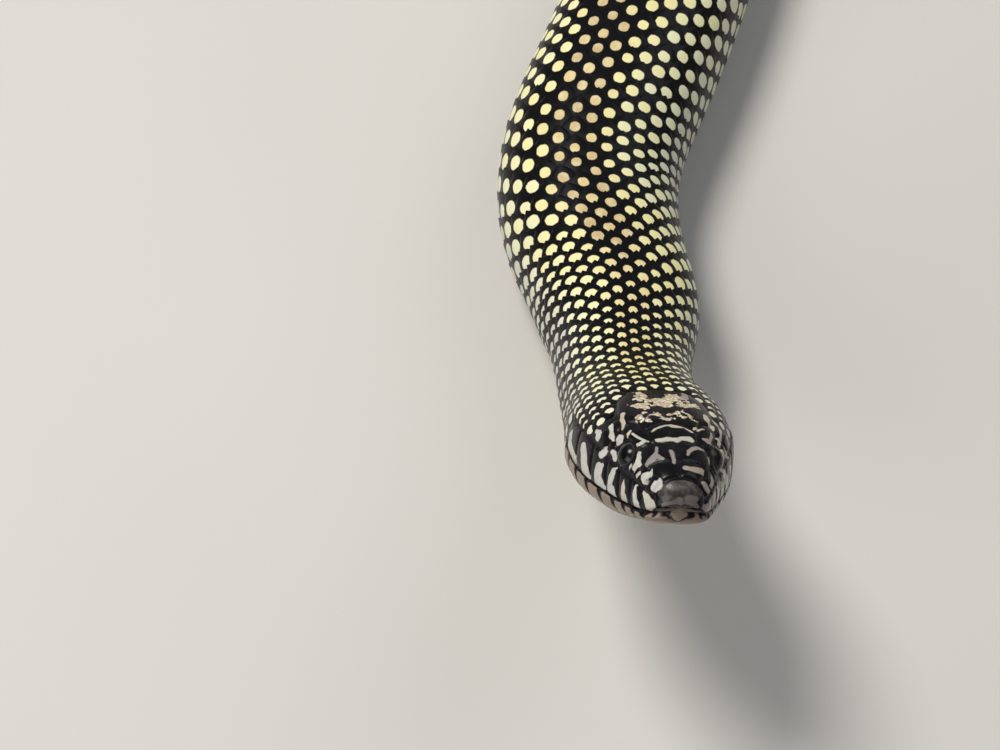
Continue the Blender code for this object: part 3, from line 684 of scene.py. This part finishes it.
def shape_skin(grid, normal, s_mm, way, jaw, q, tuck):
    """Raises the plates and sinks the grooves and openings, and lays the marks."""
    from_tip = s_mm
    s_mm = np.where(jaw > 0, jaw_way(s_mm), s_mm)
    wide = side_length(s_mm)
    signed = np.where(jaw > 0, q, q * way)
    inside = np.where(jaw > 0, deepest(s_mm, q, wide, jaw_plates()),
                      deepest(s_mm, signed, wide, head_plates()))
    head = s_mm < HEAD_END
    edge = np.where(jaw > 0, read(JAW_COAT_EDGE, q), read(COAT_EDGE, q))
    behind = ease(-0.1, 0.5, s_mm - edge)
    raised = ease(0, PLATE_SHOULDER, inside)
    lift = PLATE_RAISE * raised - GROOVE_DEPTH * (1 - raised)
    lift += PLATE_CROWN * ease(0.1, 1.1, inside)
    lift = np.where(head, lift * (1 - behind), 0) - UNDER_COAT * np.where(head, behind, 1)
    mouth = mouth_share(s_mm * MM)
    from_lip = np.where(jaw > 0, q * wide * 0.9, (1 - q) * wide)
    lift -= LIP_ROUND * (1 - ease(0, 0.4, from_lip)) * mouth
    lift = open_head(grid, lift, jaw)
    lift = lift * ease(0, 0.35, from_tip) * (1 - tuck * mouth)
    mark, tone = paint_head(s_mm, signed, wide, jaw)
    by_lip = ease(0.35, 0.0, q) * (0.1 + 0.35 * ease(1.4, 2.4, s_mm))
    mark = np.where(jaw > 0, inside - 0.06 - by_lip, mark) - 2 * behind
    tone = np.where(jaw > 0, CHIN_TONE, tone)
    return grid + normal * lift[..., None], mark.clip(-1, 1), tone, 1 - raised


def store(mesh, name, values):
    """Keeps one number or one vector for each vertex."""
    values = np.asarray(values, np.float32)
    kind = "FLOAT_VECTOR" if values.ndim > 1 else "FLOAT"
    layer = mesh.attributes.new(name, kind, "POINT")
    layer.data.foreach_set("vector" if values.ndim > 1 else "value", values.ravel())


def vectors(data, key):
    """One vector for each vertex, as the rows of an array."""
    flat = np.empty(len(data) * 3, np.float32)
    data.foreach_get(key, flat)
    return flat.reshape(-1, 3)


def move_to(mesh, spots):
    mesh.vertices.foreach_set("co", spots.astype(np.float32).ravel())


def as_mesh(bm, name):
    mesh = bpy.data.meshes.new(name)
    bm.to_mesh(mesh)
    bm.free()
    return mesh


def rework(mesh, change):
    """Lets the change work on the mesh with bmesh operators."""
    bm = bmesh.new()
    bm.from_mesh(mesh)
    change(bm)
    bm.to_mesh(mesh)
    bm.free()


def in_scene(name, data):
    """A new object of the scene, at the origin."""
    thing = bpy.data.objects.new(name, data)
    bpy.context.scene.collection.objects.link(thing)
    return thing


def finished(name, mesh, material):
    """The mesh as a piece of the snake, riding on its one body."""
    mesh.materials.clear()
    mesh.materials.append(material)
    piece = in_scene(name, mesh)
    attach(piece, "root")
    return piece


def close_skin(bm):
    """Joins the grid's two sides and its snout, and closes the tip of the tail."""
    bmesh.ops.remove_doubles(bm, verts=bm.verts, dist=0.002 * MM)
    tail = [edge for edge in bm.edges if edge.is_boundary]
    bmesh.ops.holes_fill(bm, edges=tail, sides=0)
    bmesh.ops.recalc_face_normals(bm, faces=bm.faces)


def make_skin(material):
    """One skin from the snout to the tip of the tail, drawn over a grid of rows and columns."""
    rows = skin_rows()
    way, jaw, q, tuck = skin_columns()
    bm = bmesh.new()
    bm.loops.layers.uv.new("OFBake")
    bmesh.ops.create_grid(bm, x_segments=len(way) - 1, y_segments=len(rows) - 1, size=0.5,
                          calc_uvs=True)
    mesh = as_mesh(bm, "skin")
    flat = vectors(mesh.vertices, "co")
    column = np.rint((flat[:, 0] + 0.5) * (len(way) - 1)).astype(int)
    row = np.rint((flat[:, 1] + 0.5) * (len(rows) - 1)).astype(int)
    across = [np.broadcast_to(part, (len(rows), len(way))) for part in (way, jaw, q, tuck)]
    s_mm = np.broadcast_to(rows[:, None], across[0].shape)
    grid = skin_surface(s_mm, *across)
    grid, *painted = shape_skin(grid, outward(grid), s_mm, *across)
    move_to(mesh, grid[row, column])
    for name, values in zip(("mark", "tone", "groove"), painted):
        store(mesh, name, values[row, column])
    rework(mesh, close_skin)
    mesh.shade_smooth()
    skin = finished("skin", mesh, material)
    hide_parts(*FLESH_NODES)


ROW_PITCH = 3.0
# Where a scale's underside and its walls lie in its cell of the OFBake map.
UNDERSIDE_SHARE, UNDERSIDE_SPOT = 0.04, 0.46
WALL_SHARE = 1.1


def close_plate(bm, chart, place, cell):
    """Gives an open sheet its walls and its underside, and each face its place in the cell."""
    rim = [edge for edge in bm.edges if edge.is_boundary]
    for edge in rim:
        edge.smooth = False
    made = bmesh.ops.extrude_edge_only(bm, edges=rim)["geom"]
    low = {part for part in made if isinstance(part, bmesh.types.BMVert)}
    for vert in low:
        vert.co.z -= SCALE_WALL
    under = bmesh.ops.contextual_create(
        bm, geom=[part for part in made if isinstance(part, bmesh.types.BMEdge)
                  and part.verts[0] in low and part.verts[1] in low])["faces"]
    bmesh.ops.recalc_face_normals(bm, faces=bm.faces)
    for face in bm.faces:
        face.smooth = True
        for loop in face.loops:
            u, t = cell(loop.vert[place])
            if face in under:
                u, t = (part * UNDERSIDE_SHARE - UNDERSIDE_SPOT for part in (u, t))
            elif loop.vert in low:
                u, t = u * WALL_SHARE, t * WALL_SHARE
            loop[chart].uv = (0.5 + t, 0.5 + u)


def scale_blank(across, along):
    """One flat scale: x runs to the head, y across, z is its lift in millimetres."""
    bm = bmesh.new()
    chart = bm.loops.layers.uv.new("OFBake")
    place = bm.verts.layers.float_vector.new("place")
    bmesh.ops.create_grid(bm, x_segments=along, y_segments=across, size=1.0)
    for vert in bm.verts:
        r, y = (vert.co.x + 1) / 2, vert.co.y
        t = SCALE_TIP + (SCALE_ROOT - SCALE_TIP) * r
        rear = min(0.03 + r / 0.58 * 0.97, 1.0)
        wide = SCALE_SIDE * (1 - (1 - rear) ** 1.85) ** 0.72
        wide *= 1 - 0.3 * max(r - 0.58, 0) ** 2 / 0.18
        t += 0.09 * (1 - r) * y * y
        lift = TIP_LIFT + (ROOT_LIFT - TIP_LIFT) * r
        lift += SCALE_CROWN * (1 - y * y) * (0.35 + 0.65 * math.sin(math.pi * r)) - 0.05 * y * y
        vert.co = (t, y * wide, lift)
        vert[place] = (y * wide, t, 0)
    middle = (SCALE_TIP + SCALE_ROOT) / 2
    close_plate(bm, chart, place, lambda at: (at[0] * 0.4, (at[1] - middle) * 0.58))
    return as_mesh(bm, "scale")


def sheet_of(blank, along, rows):
    """The blank repeated along the snake and across its rows, as one mesh."""
    sheet = in_scene("sheet", blank)
    for number, step, u, v in ((along, (1, 0, 0), 1 / along, 0), (rows, (0, ROW_PITCH, 0), 0, 1 / rows)):
        copies = sheet.modifiers.new("rows", "ARRAY")
        copies.count = number
        copies.use_relative_offset = False
        copies.use_constant_offset = True
        copies.constant_offset_displace = step
        copies.offset_u = u
        copies.offset_v = v
    for loop in blank.uv_layers["OFBake"].data:
        loop.uv = (loop.uv[0] / along, loop.uv[1] / rows)
    graph = bpy.context.evaluated_depsgraph_get()
    mesh = bpy.data.meshes.new_from_object(sheet.evaluated_get(graph))
    bpy.data.objects.remove(sheet)
    return mesh


def read_sheet(mesh):
    """Each vertex's place in its scale, its lift, and its scale's number along and across."""
    co = vectors(mesh.vertices, "co").astype(float)
    u, t, _ = vectors(mesh.attributes["place"].data, "vector").astype(float).T
    step = np.rint(co[:, 0] - t).astype(int)
    row = np.rint((co[:, 1] - u) / ROW_PITCH).astype(int)
    return u, t, co[:, 2], step, row


def keep_only(mesh, keep):
    def drop(bm):
        bm.verts.ensure_lookup_table()
        loose = [bm.verts[i] for i in np.flatnonzero(~keep)]
        bmesh.ops.delete(bm, geom=loose, context="VERTS")

    rework(mesh, drop)


def thinness(s):
    """The share of the coat's thickness that is left toward the tip of the tail."""
    return ease(0, 60, (spine.length - s) / MM) * 0.65 + 0.35


def row_spread(row, s):
    """The rows' way from the back, with the outer rows wider."""
    return row + read(OUTER_ROWS_WIDER, s / MM) * row ** 3 / (3 * FULL_HALF_ROWS ** 2)


def girth_of_row(row, s):
    half_rows = read(HALF_ROWS, s / MM)
    return np.sign(row) * BELLY_EDGE * row_spread(np.abs(row), s) / row_spread(half_rows, s)


def behind_head(s, angle):
    """True where a scale's middle lies behind the plates of the head and the chin."""
    lip = lip_angle(s)
    q = np.abs(angle) / lip
    under = (np.abs(angle) - lip) / (math.pi - lip)
    edge = np.where(q <= 1, read(COAT_EDGE, q), read(JAW_COAT_EDGE, under))
    return s / MM > edge + 0.5


def spots_of(high, s, chance):
    """Each pale spot's half width, half length, shift and hue, by its row and its s in millimetres."""
    neck, whole, by_head = ease(75, 45, s), ease(62, 84, s), ease(34, 20, s)
    side = neck * ease(0.4, 0.75, high)
    small = 0.09 * whole + 0.1 * whole * ease(135, 105, s)
    size = (1 + 0.05 * chance[:, 3]) * (1 - 0.15 * ease(26, 20, s))
    wide = read(SPOT_WIDTHS, high) * (1 - 0.06 * neck - 0.12 * side - small)
    long = read(SPOT_LENGTHS, high) * (1 - 0.13 * neck - 0.1 * side - 0.1 * whole - small)
    hue = read(SPOT_HUES, high) + (0.3 * neck + 0.25 * by_head) * (1 - high)
    hue += 0.2 * by_head + 0.45 * neck * ease(0.35, 0.6, high) + 0.07 * chance[:, 4]
    hue += 0.15 * whole * ease(0.15, 0.35, high)
    hue += 0.4 * ease(115, 90, s) * ease(0.45, 0.7, high)
    spot = np.stack([wide * size, long * size, 0.05 * chance[:, 5] - 0.2 * whole], 1)
    return spot, np.clip(hue, 0, GREYEST)


def make_scales(name, start, end, rows, across, along, material):
    """A length of the coat, wrapped round the body from a flat sheet of scales."""
    first = math.ceil(count.at(start * MM)) if start * MM > COAT_STARTS else 0
    last = math.ceil(count.at(end * MM))
    mesh = sheet_of(scale_blank(across, along), last - first, rows)
    u, t, lift, step, row = read_sheet(mesh)
    chance = np.random.default_rng(SEED + first).normal(0, 1, (last - first, rows, 6)).clip(-2, 2)
    chance = chance[step, row]
    number = row - (rows - 1) / 2
    n_middle = first + step + 0.5 * (number % 2) + 0.02 * chance[:, 0]
    s_middle = count.s_at(n_middle)
    s = np.clip(count.s_at(n_middle - t), 0, spine.length)
    part = girth_of_row(number + read(ROW_SHIFT, s / MM) - u + 0.02 * chance[:, 1], s)
    middle_row = number + read(ROW_SHIFT, s_middle / MM)
    middle_half = read(HALF_ROWS, s_middle / MM)
    middle = girth_of_row(middle_row, s_middle)
    angle_middle = girth.angle(s_middle, np.clip(middle, -0.999, 0.999))
    throat = (s_middle < THROAT_END) & (np.abs(middle) < 1.0)
    keep = ((np.abs(middle_row) < middle_half - 0.3) | throat) & behind_head(s_middle, angle_middle)
    keep &= s_middle < spine.length - 0.6 * MM
    over = np.abs(part) > 1
    part = np.where(over, np.sign(part) * (2 - np.abs(part)), part)
    angle = girth.angle(s, part)
    angle = np.where(over, np.sign(part) * 2 * math.pi - angle, angle)
    move_to(mesh, on_body(s, angle, (lift + 0.015 * chance[:, 2]) * thinness(s) * MM))
    high = np.clip(np.abs(number) / middle_half, 0, 1.2)
    spot, hue = spots_of(high, s_middle / MM, chance)
    store(mesh, "spot", spot)
    store(mesh, "hue", hue)
    keep_only(mesh, keep)
    piece = finished(name, mesh, material)


def plate_blank(across):
    """One belly plate: x runs to the head, y from its left edge to its right, z is its lift."""
    bm = bmesh.new()
    chart = bm.loops.layers.uv.new("OFBake")
    place = bm.verts.layers.float_vector.new("place")
    bmesh.ops.create_grid(bm, x_segments=3, y_segments=across, size=1.0)
    for vert in bm.verts:
        r, y = (vert.co.x + 1) / 2, vert.co.y
        t = -0.62 + 1.15 * r + 0.16 * abs(y) ** 3
        vert.co = (t, y, TIP_LIFT - 0.06 + (ROOT_LIFT - TIP_LIFT) * r)
        vert[place] = (y, t, 0)
    close_plate(bm, chart, place, lambda at: (at[0] * 0.42, (at[1] + 0.05) * 0.58))
    return as_mesh(bm, "plate")


def make_belly(name, start, end, halves, material):
    """The plates of the belly in one row, or under the tail in two."""
    first = math.ceil(count.at(start * MM))
    last = math.floor(count.at(end * MM))
    mesh = sheet_of(plate_blank(22 if halves == 1 else 8), last - first, halves)
    u, t, lift, step, row = read_sheet(mesh)
    chance = np.random.default_rng(SEED + last).uniform(0, 1, (last - first, 2))[step, row]
    n = first + step - t + 0.5 * row
    s = np.clip(count.s_at(n), 0, spine.length)
    across = u if halves == 1 else (u * 0.98 + 1) / 2 - row
    part = np.sign(across + 1e-6) * (1 - (1 - BELLY_EDGE + 0.035) * np.abs(across))
    move_to(mesh, on_body(s, girth.angle(s, part), lift * thinness(s) * MM))
    store(mesh, "blotch", np.stack([across * 1.5, (first + step) * 0.5 - t * 0.7, chance * 0.8], 1))
    store(mesh, "near_edge", np.abs(across))
    rework(mesh, lambda bm: bmesh.ops.recalc_face_normals(bm, faces=bm.faces))
    piece = finished(name, mesh, material)


def make_eye(name, way, material):
    """The eye under its clear cover, its pole looking outward."""
    centre, axis = eye_place(way)
    turn = Vector((0, 0, 1)).rotation_difference(Vector(axis)).to_matrix().to_4x4()
    turn.translation = Vector(centre)
    bm = bmesh.new()
    bm.loops.layers.uv.new("EyeMap")
    bmesh.ops.create_uvsphere(bm, u_segments=64, v_segments=40, radius=EYE_RADIUS, matrix=turn,
                              calc_uvs=True)
    mesh = as_mesh(bm, name)
    mesh.shade_smooth()
    eye = finished(name + "_detail", mesh, material)
    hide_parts(name)


class Finish:
    """A new material with its shader, and short words for its nodes."""

    def __init__(self, name, rough, coat=0.0, coat_rough=0.1, shine=0.5):
        self.material = bpy.data.materials.new(name)
        self.material.use_nodes = True
        self.tree = self.material.node_tree
        self.inputs = self.tree.nodes["Principled BSDF"].inputs
        self.inputs["Roughness"].default_value = rough
        self.inputs["Specular IOR Level"].default_value = shine
        self.inputs["Coat Weight"].default_value = coat
        self.inputs["Coat Roughness"].default_value = coat_rough

    def put(self, socket, value):
        if isinstance(value, bpy.types.NodeSocket):
            self.tree.links.new(value, socket)
        else:
            socket.default_value = value

    def node(self, kind, *values, **settings):
        made = self.tree.nodes.new(kind)
        for key, value in settings.items():
            setattr(made, key, value)
        for socket, value in zip(made.inputs, values):
            self.put(socket, value)
        return made

    def math(self, operation, *values):
        return self.node("ShaderNodeMath", *values, operation=operation).outputs[0]

    def plus(self, a, b):
        return self.math("ADD", a, b)

    def minus(self, a, b):
        return self.math("SUBTRACT", a, b)

    def times(self, a, b):
        return self.math("MULTIPLY", a, b)

    def number(self, name):
        return self.node("ShaderNodeAttribute", attribute_name=name).outputs["Fac"]

    def vector(self, name):
        return self.node("ShaderNodeAttribute", attribute_name=name).outputs["Vector"]

    def parts(self, vector):
        return self.node("ShaderNodeSeparateXYZ", vector).outputs

    def step(self, value, low, high):
        return self.node("ShaderNodeMapRange", value, low, high, 0.0, 1.0,
                         interpolation_type="SMOOTHSTEP").outputs[0]

    def noise(self, scale, detail=2.0, vector=None):
        if vector is None:
            vector = self.node("ShaderNodeTexCoord").outputs["Object"]
        made = self.node("ShaderNodeTexNoise", vector)
        made.inputs["Scale"].default_value = scale
        made.inputs["Detail"].default_value = detail
        return made.outputs[0]

    def ramp(self, value, stops):
        made = self.node("ShaderNodeValToRGB", value)
        band = made.color_ramp
        while len(band.elements) < len(stops):
            band.elements.new(0.5)
        for element, (place, colour) in zip(band.elements, stops):
            element.position = place
            element.color = (*colour, 1)
        return made.outputs[0]

    def mix(self, share, a, b):
        made = self.node("ShaderNodeMix", data_type="RGBA")
        for socket, value in ((0, share), (6, a), (7, b)):
            self.put(made.inputs[socket], value)
        return made.outputs[2]

    def bump(self, height, strength, distance):
        made = self.node("ShaderNodeBump")
        made.inputs["Strength"].default_value = strength
        made.inputs["Distance"].default_value = distance
        self.put(made.inputs["Height"], height)
        self.put(self.inputs["Normal"], made.outputs[0])

    def paint(self, colour, rough=None):
        self.put(self.inputs["Base Color"], colour)
        if rough is not None:
            self.put(self.inputs["Roughness"], rough)
        return self.material


BLACK = (0.0045, 0.0042, 0.0052, 1)
SPOT_MIDDLE = 0.07


def speckled_scale_finish():
    """Glossy black scales, each with one pale spot in its middle."""
    look = Finish("speckled_scale", 0.36, coat=0.04, coat_rough=0.2, shine=0.09)
    u, t, _ = look.parts(look.vector("place"))
    wide, long, shift = look.parts(look.vector("spot"))
    across = look.math("DIVIDE", u, wide)
    along = look.math("DIVIDE", look.minus(look.minus(t, SPOT_MIDDLE), shift), long)
    far = look.math("SQRT", look.plus(look.math("POWER", look.math("ABSOLUTE", across), 2.3),
                                      look.math("POWER", look.math("ABSOLUTE", along), 2.3)))
    rough_edge = look.times(look.minus(look.noise(2200), 0.5), 0.3)
    spot_share = look.minus(1.0, look.step(look.plus(far, rough_edge), 0.88, 1.08))
    colour = look.ramp(look.math("DIVIDE", look.number("hue"), GREYEST), [
        (0.0, (0.52, 0.39, 0.20)), (0.14, (0.68, 0.54, 0.25)), (0.36, (0.81, 0.745, 0.37)),
        (0.62, (0.75, 0.755, 0.53)), (1.0, (0.55, 0.55, 0.49))])
    mottled = look.mix(look.step(look.noise(900, 4), 0.35, 0.75), colour, (0.84, 0.83, 0.58, 1))
    colour = look.mix(0.35, colour, mottled)
    look.bump(look.noise(5200, 3), 0.12, 0.06 * MM)
    return look.paint(look.mix(spot_share, BLACK, colour),
                      look.math("MULTIPLY_ADD", spot_share, 0.12, 0.32))


def head_skin_finish():
    """Glossy black plates with pale marks and a painted purple sheen in the black; dull black skin in the
    grooves and under the scales.
    """
    look = Finish("head_skin", 0.26, coat=0.05, coat_rough=0.07, shine=0.14)
    tone, groove = look.number("tone"), look.number("groove")
    crusty = look.minus(look.step(tone, 0.3, 0.4), look.step(tone, 0.5, 0.6))
    wavy = look.times(look.minus(look.noise(1300, 3), 0.5), look.math("MULTIPLY_ADD", crusty, 2.1, 0.3))
    mark = look.minus(look.number("mark"), look.times(crusty, 0.13))
    share = look.step(look.plus(mark, wavy), -0.05, 0.09)
    # The stop at 0.76 gives the near-black painted shade of the notch above the lip; the other stops are
    # the marks' own tones and the chin's brown.
    colour = look.ramp(look.math("DIVIDE", tone, CHIN_TONE), [
        (0.0, (0.53, 0.52, 0.48)), (0.17, (0.53, 0.48, 0.38)), (0.33, (0.50, 0.38, 0.22)),
        (0.43, (0.30, 0.265, 0.255)), (0.56, (0.135, 0.118, 0.114)), (0.66, (0.038, 0.033, 0.032)),
        (0.76, (0.012, 0.010, 0.011)), (1.0, (0.24, 0.185, 0.14))])
    cloudy = look.step(look.noise(1500, 4), 0.3, 0.75)
    colour = look.mix(cloudy, colour, look.mix(0.3, colour, (0.25, 0.23, 0.20, 1)))
    flakes = look.times(crusty, look.step(look.noise(2600, 3), 0.5, 0.6))
    colour = look.mix(flakes, colour, (0.70, 0.66, 0.59, 1))
    # Painted sheen: purplish patches laid into the black base colour stand in for the skin's faint purple
    # sheen.
    black = look.mix(look.step(look.noise(420, 2), 0.45, 0.7), BLACK, (0.013, 0.0085, 0.014, 1))
    grain = look.times(look.noise(2600, 2), look.step(groove, 0.02, 0.5))
    look.bump(look.math("MULTIPLY_ADD", grain, 2.5, look.noise(3800, 4)), 0.22, 0.08 * MM)
    return look.paint(look.mix(share, black, colour), look.math("MULTIPLY_ADD", groove, 0.1, 0.24))


def belly_plate_finish():
    """Smooth yellowish cream plates with black blotches."""
    look = Finish("belly_plate", 0.36, coat=0.15, coat_rough=0.2, shine=0.4)
    field = look.plus(look.noise(1.0, 1.5, look.vector("blotch")), look.times(look.noise(900, 3), 0.1))
    dark = look.step(field, 0.585, 0.62)
    cream = look.mix(look.step(look.number("near_edge"), 0.4, 1.0),
                     (0.60, 0.52, 0.28, 1), (0.62, 0.62, 0.36, 1))
    look.bump(look.noise(3000, 3), 0.1, 0.06 * MM)
    return look.paint(look.mix(dark, cream, BLACK))


def eye_finish():
    """A round black pupil in a very dark iris with a faint paler rim, under a wet gloss."""
    look = Finish("eye_gloss", 0.2, coat=0.08, coat_rough=0.08, shine=0.2)
    _, up, _ = look.parts(look.node("ShaderNodeUVMap", uv_map="EyeMap").outputs[0])
    from_pole = look.times(look.minus(1.0, up), 180.0)
    streak = look.times(look.noise(4200, 3), 5.0)
    pupil = look.step(look.plus(from_pole, streak), 27.0, 30.0)
    rim = look.times(look.step(from_pole, 40.0, 45.0), look.minus(1.0, look.step(from_pole, 48.0, 53.0)))
    iris = look.mix(rim, (0.010, 0.0075, 0.007, 1), (0.030, 0.026, 0.028, 1))
    return look.paint(look.mix(pupil, (0.0015, 0.0015, 0.0018, 1), iris))


def pale_floor_finish():
    look = Finish("pale_floor", 0.7)
    return look.paint(look.mix(look.noise(14, 2), (0.60, 0.58, 0.55, 1), (0.564, 0.5452, 0.517, 1)))


def make_floor():
    bm = bmesh.new()
    bmesh.ops.create_grid(bm, x_segments=1, y_segments=1, size=3.0)
    mesh = as_mesh(bm, "floor")
    mesh.materials.append(pale_floor_finish())
    floor = in_scene("floor", mesh)
    floor.location.z = -0.0002


def make_light(name, way, size, power, colour):
    """A round soft lamp that looks at the head from the way's end."""
    light = bpy.data.lights.new(name, "AREA")
    light.shape = "DISK"
    light.size = size
    light.energy = power
    light.color = colour
    lamp = in_scene(name, light)
    lamp.location = AIM + Vector(way)
    lamp.rotation_euler = (lamp.location - AIM).to_track_quat("Z", "Y").to_euler()


AIM = Vector(PLACE) + Vector((0, 0, 0.025))
CAMERA_ELEVATION = math.radians(57.0)
CAMERA_AWAY = 0.455
CAMERA_LENS = 126.0


def make_camera():
    """The camera looks down at the head from the photo's side, with the photo's framing."""
    back = Vector((0, -math.cos(CAMERA_ELEVATION), math.sin(CAMERA_ELEVATION)))
    lens = bpy.data.cameras.new("camera")
    lens.lens = CAMERA_LENS
    lens.sensor_width = 36.0
    lens.clip_start = 0.01
    camera = in_scene("camera", lens)
    camera.location = AIM + back * CAMERA_AWAY
    camera.rotation_euler = back.to_track_quat("Z", "Y").to_euler()
    bpy.context.scene.camera = camera


def make_studio():
    world = bpy.data.worlds.new("studio")
    world.use_nodes = True
    sky = world.node_tree.nodes["Background"]
    sky.inputs["Color"].default_value = (0.93, 0.96, 1.0, 1)
    sky.inputs["Strength"].default_value = 0.2
    bpy.context.scene.world = world
    bpy.context.scene.view_settings.view_transform = "Standard"
    make_light("key", (-0.26, 0.18, 0.66), 0.3, 4.7, (1.0, 0.97, 0.92))
    make_light("front", (-0.42, -0.42, 0.36), 0.4, 1.5, (1.0, 0.98, 0.96))
    make_light("back", (0.45, 0.30, 0.50), 0.5, 1.0, (0.92, 0.96, 1.0))


# Start and end in millimetres, rows round the body, and faces across and along each scale.
COAT_LENGTHS = {"scales_nape": (16, 72, 35, 8, 8), "scales_neck": (72, 130, 25, 8, 8)}
TRUNK_STOPS = (130, 270, 410, 560, 710, 850)
for i, stops in enumerate(zip(TRUNK_STOPS, TRUNK_STOPS[1:]), 1):
    COAT_LENGTHS[f"scales_trunk_{i}"] = (*stops, 25, 5, 6)
COAT_LENGTHS |= {"scales_vent": (850, 930, 23, 5, 6), "scales_tail": (930, 1070, 19, 5, 6)}
# Start and end in millimetres, and plates side by side.
BELLY_LENGTHS = {"belly_front": (28, 300, 1), "belly_middle": (300, 610, 1),
                 "belly_rear": (610, 915, 1), "belly_tail": (915, 1058, 2)}

make_camera()
make_studio()
make_floor()
scale_finish = speckled_scale_finish()
belly_finish = belly_plate_finish()
eye_gloss = eye_finish()
make_skin(head_skin_finish())
make_eye("eye_right", 1, eye_gloss)
make_eye("eye_left", -1, eye_gloss)
for name, shape in COAT_LENGTHS.items():
    make_scales(name, *shape, scale_finish)
for name, shape in BELLY_LENGTHS.items():
    make_belly(name, *shape, belly_finish)
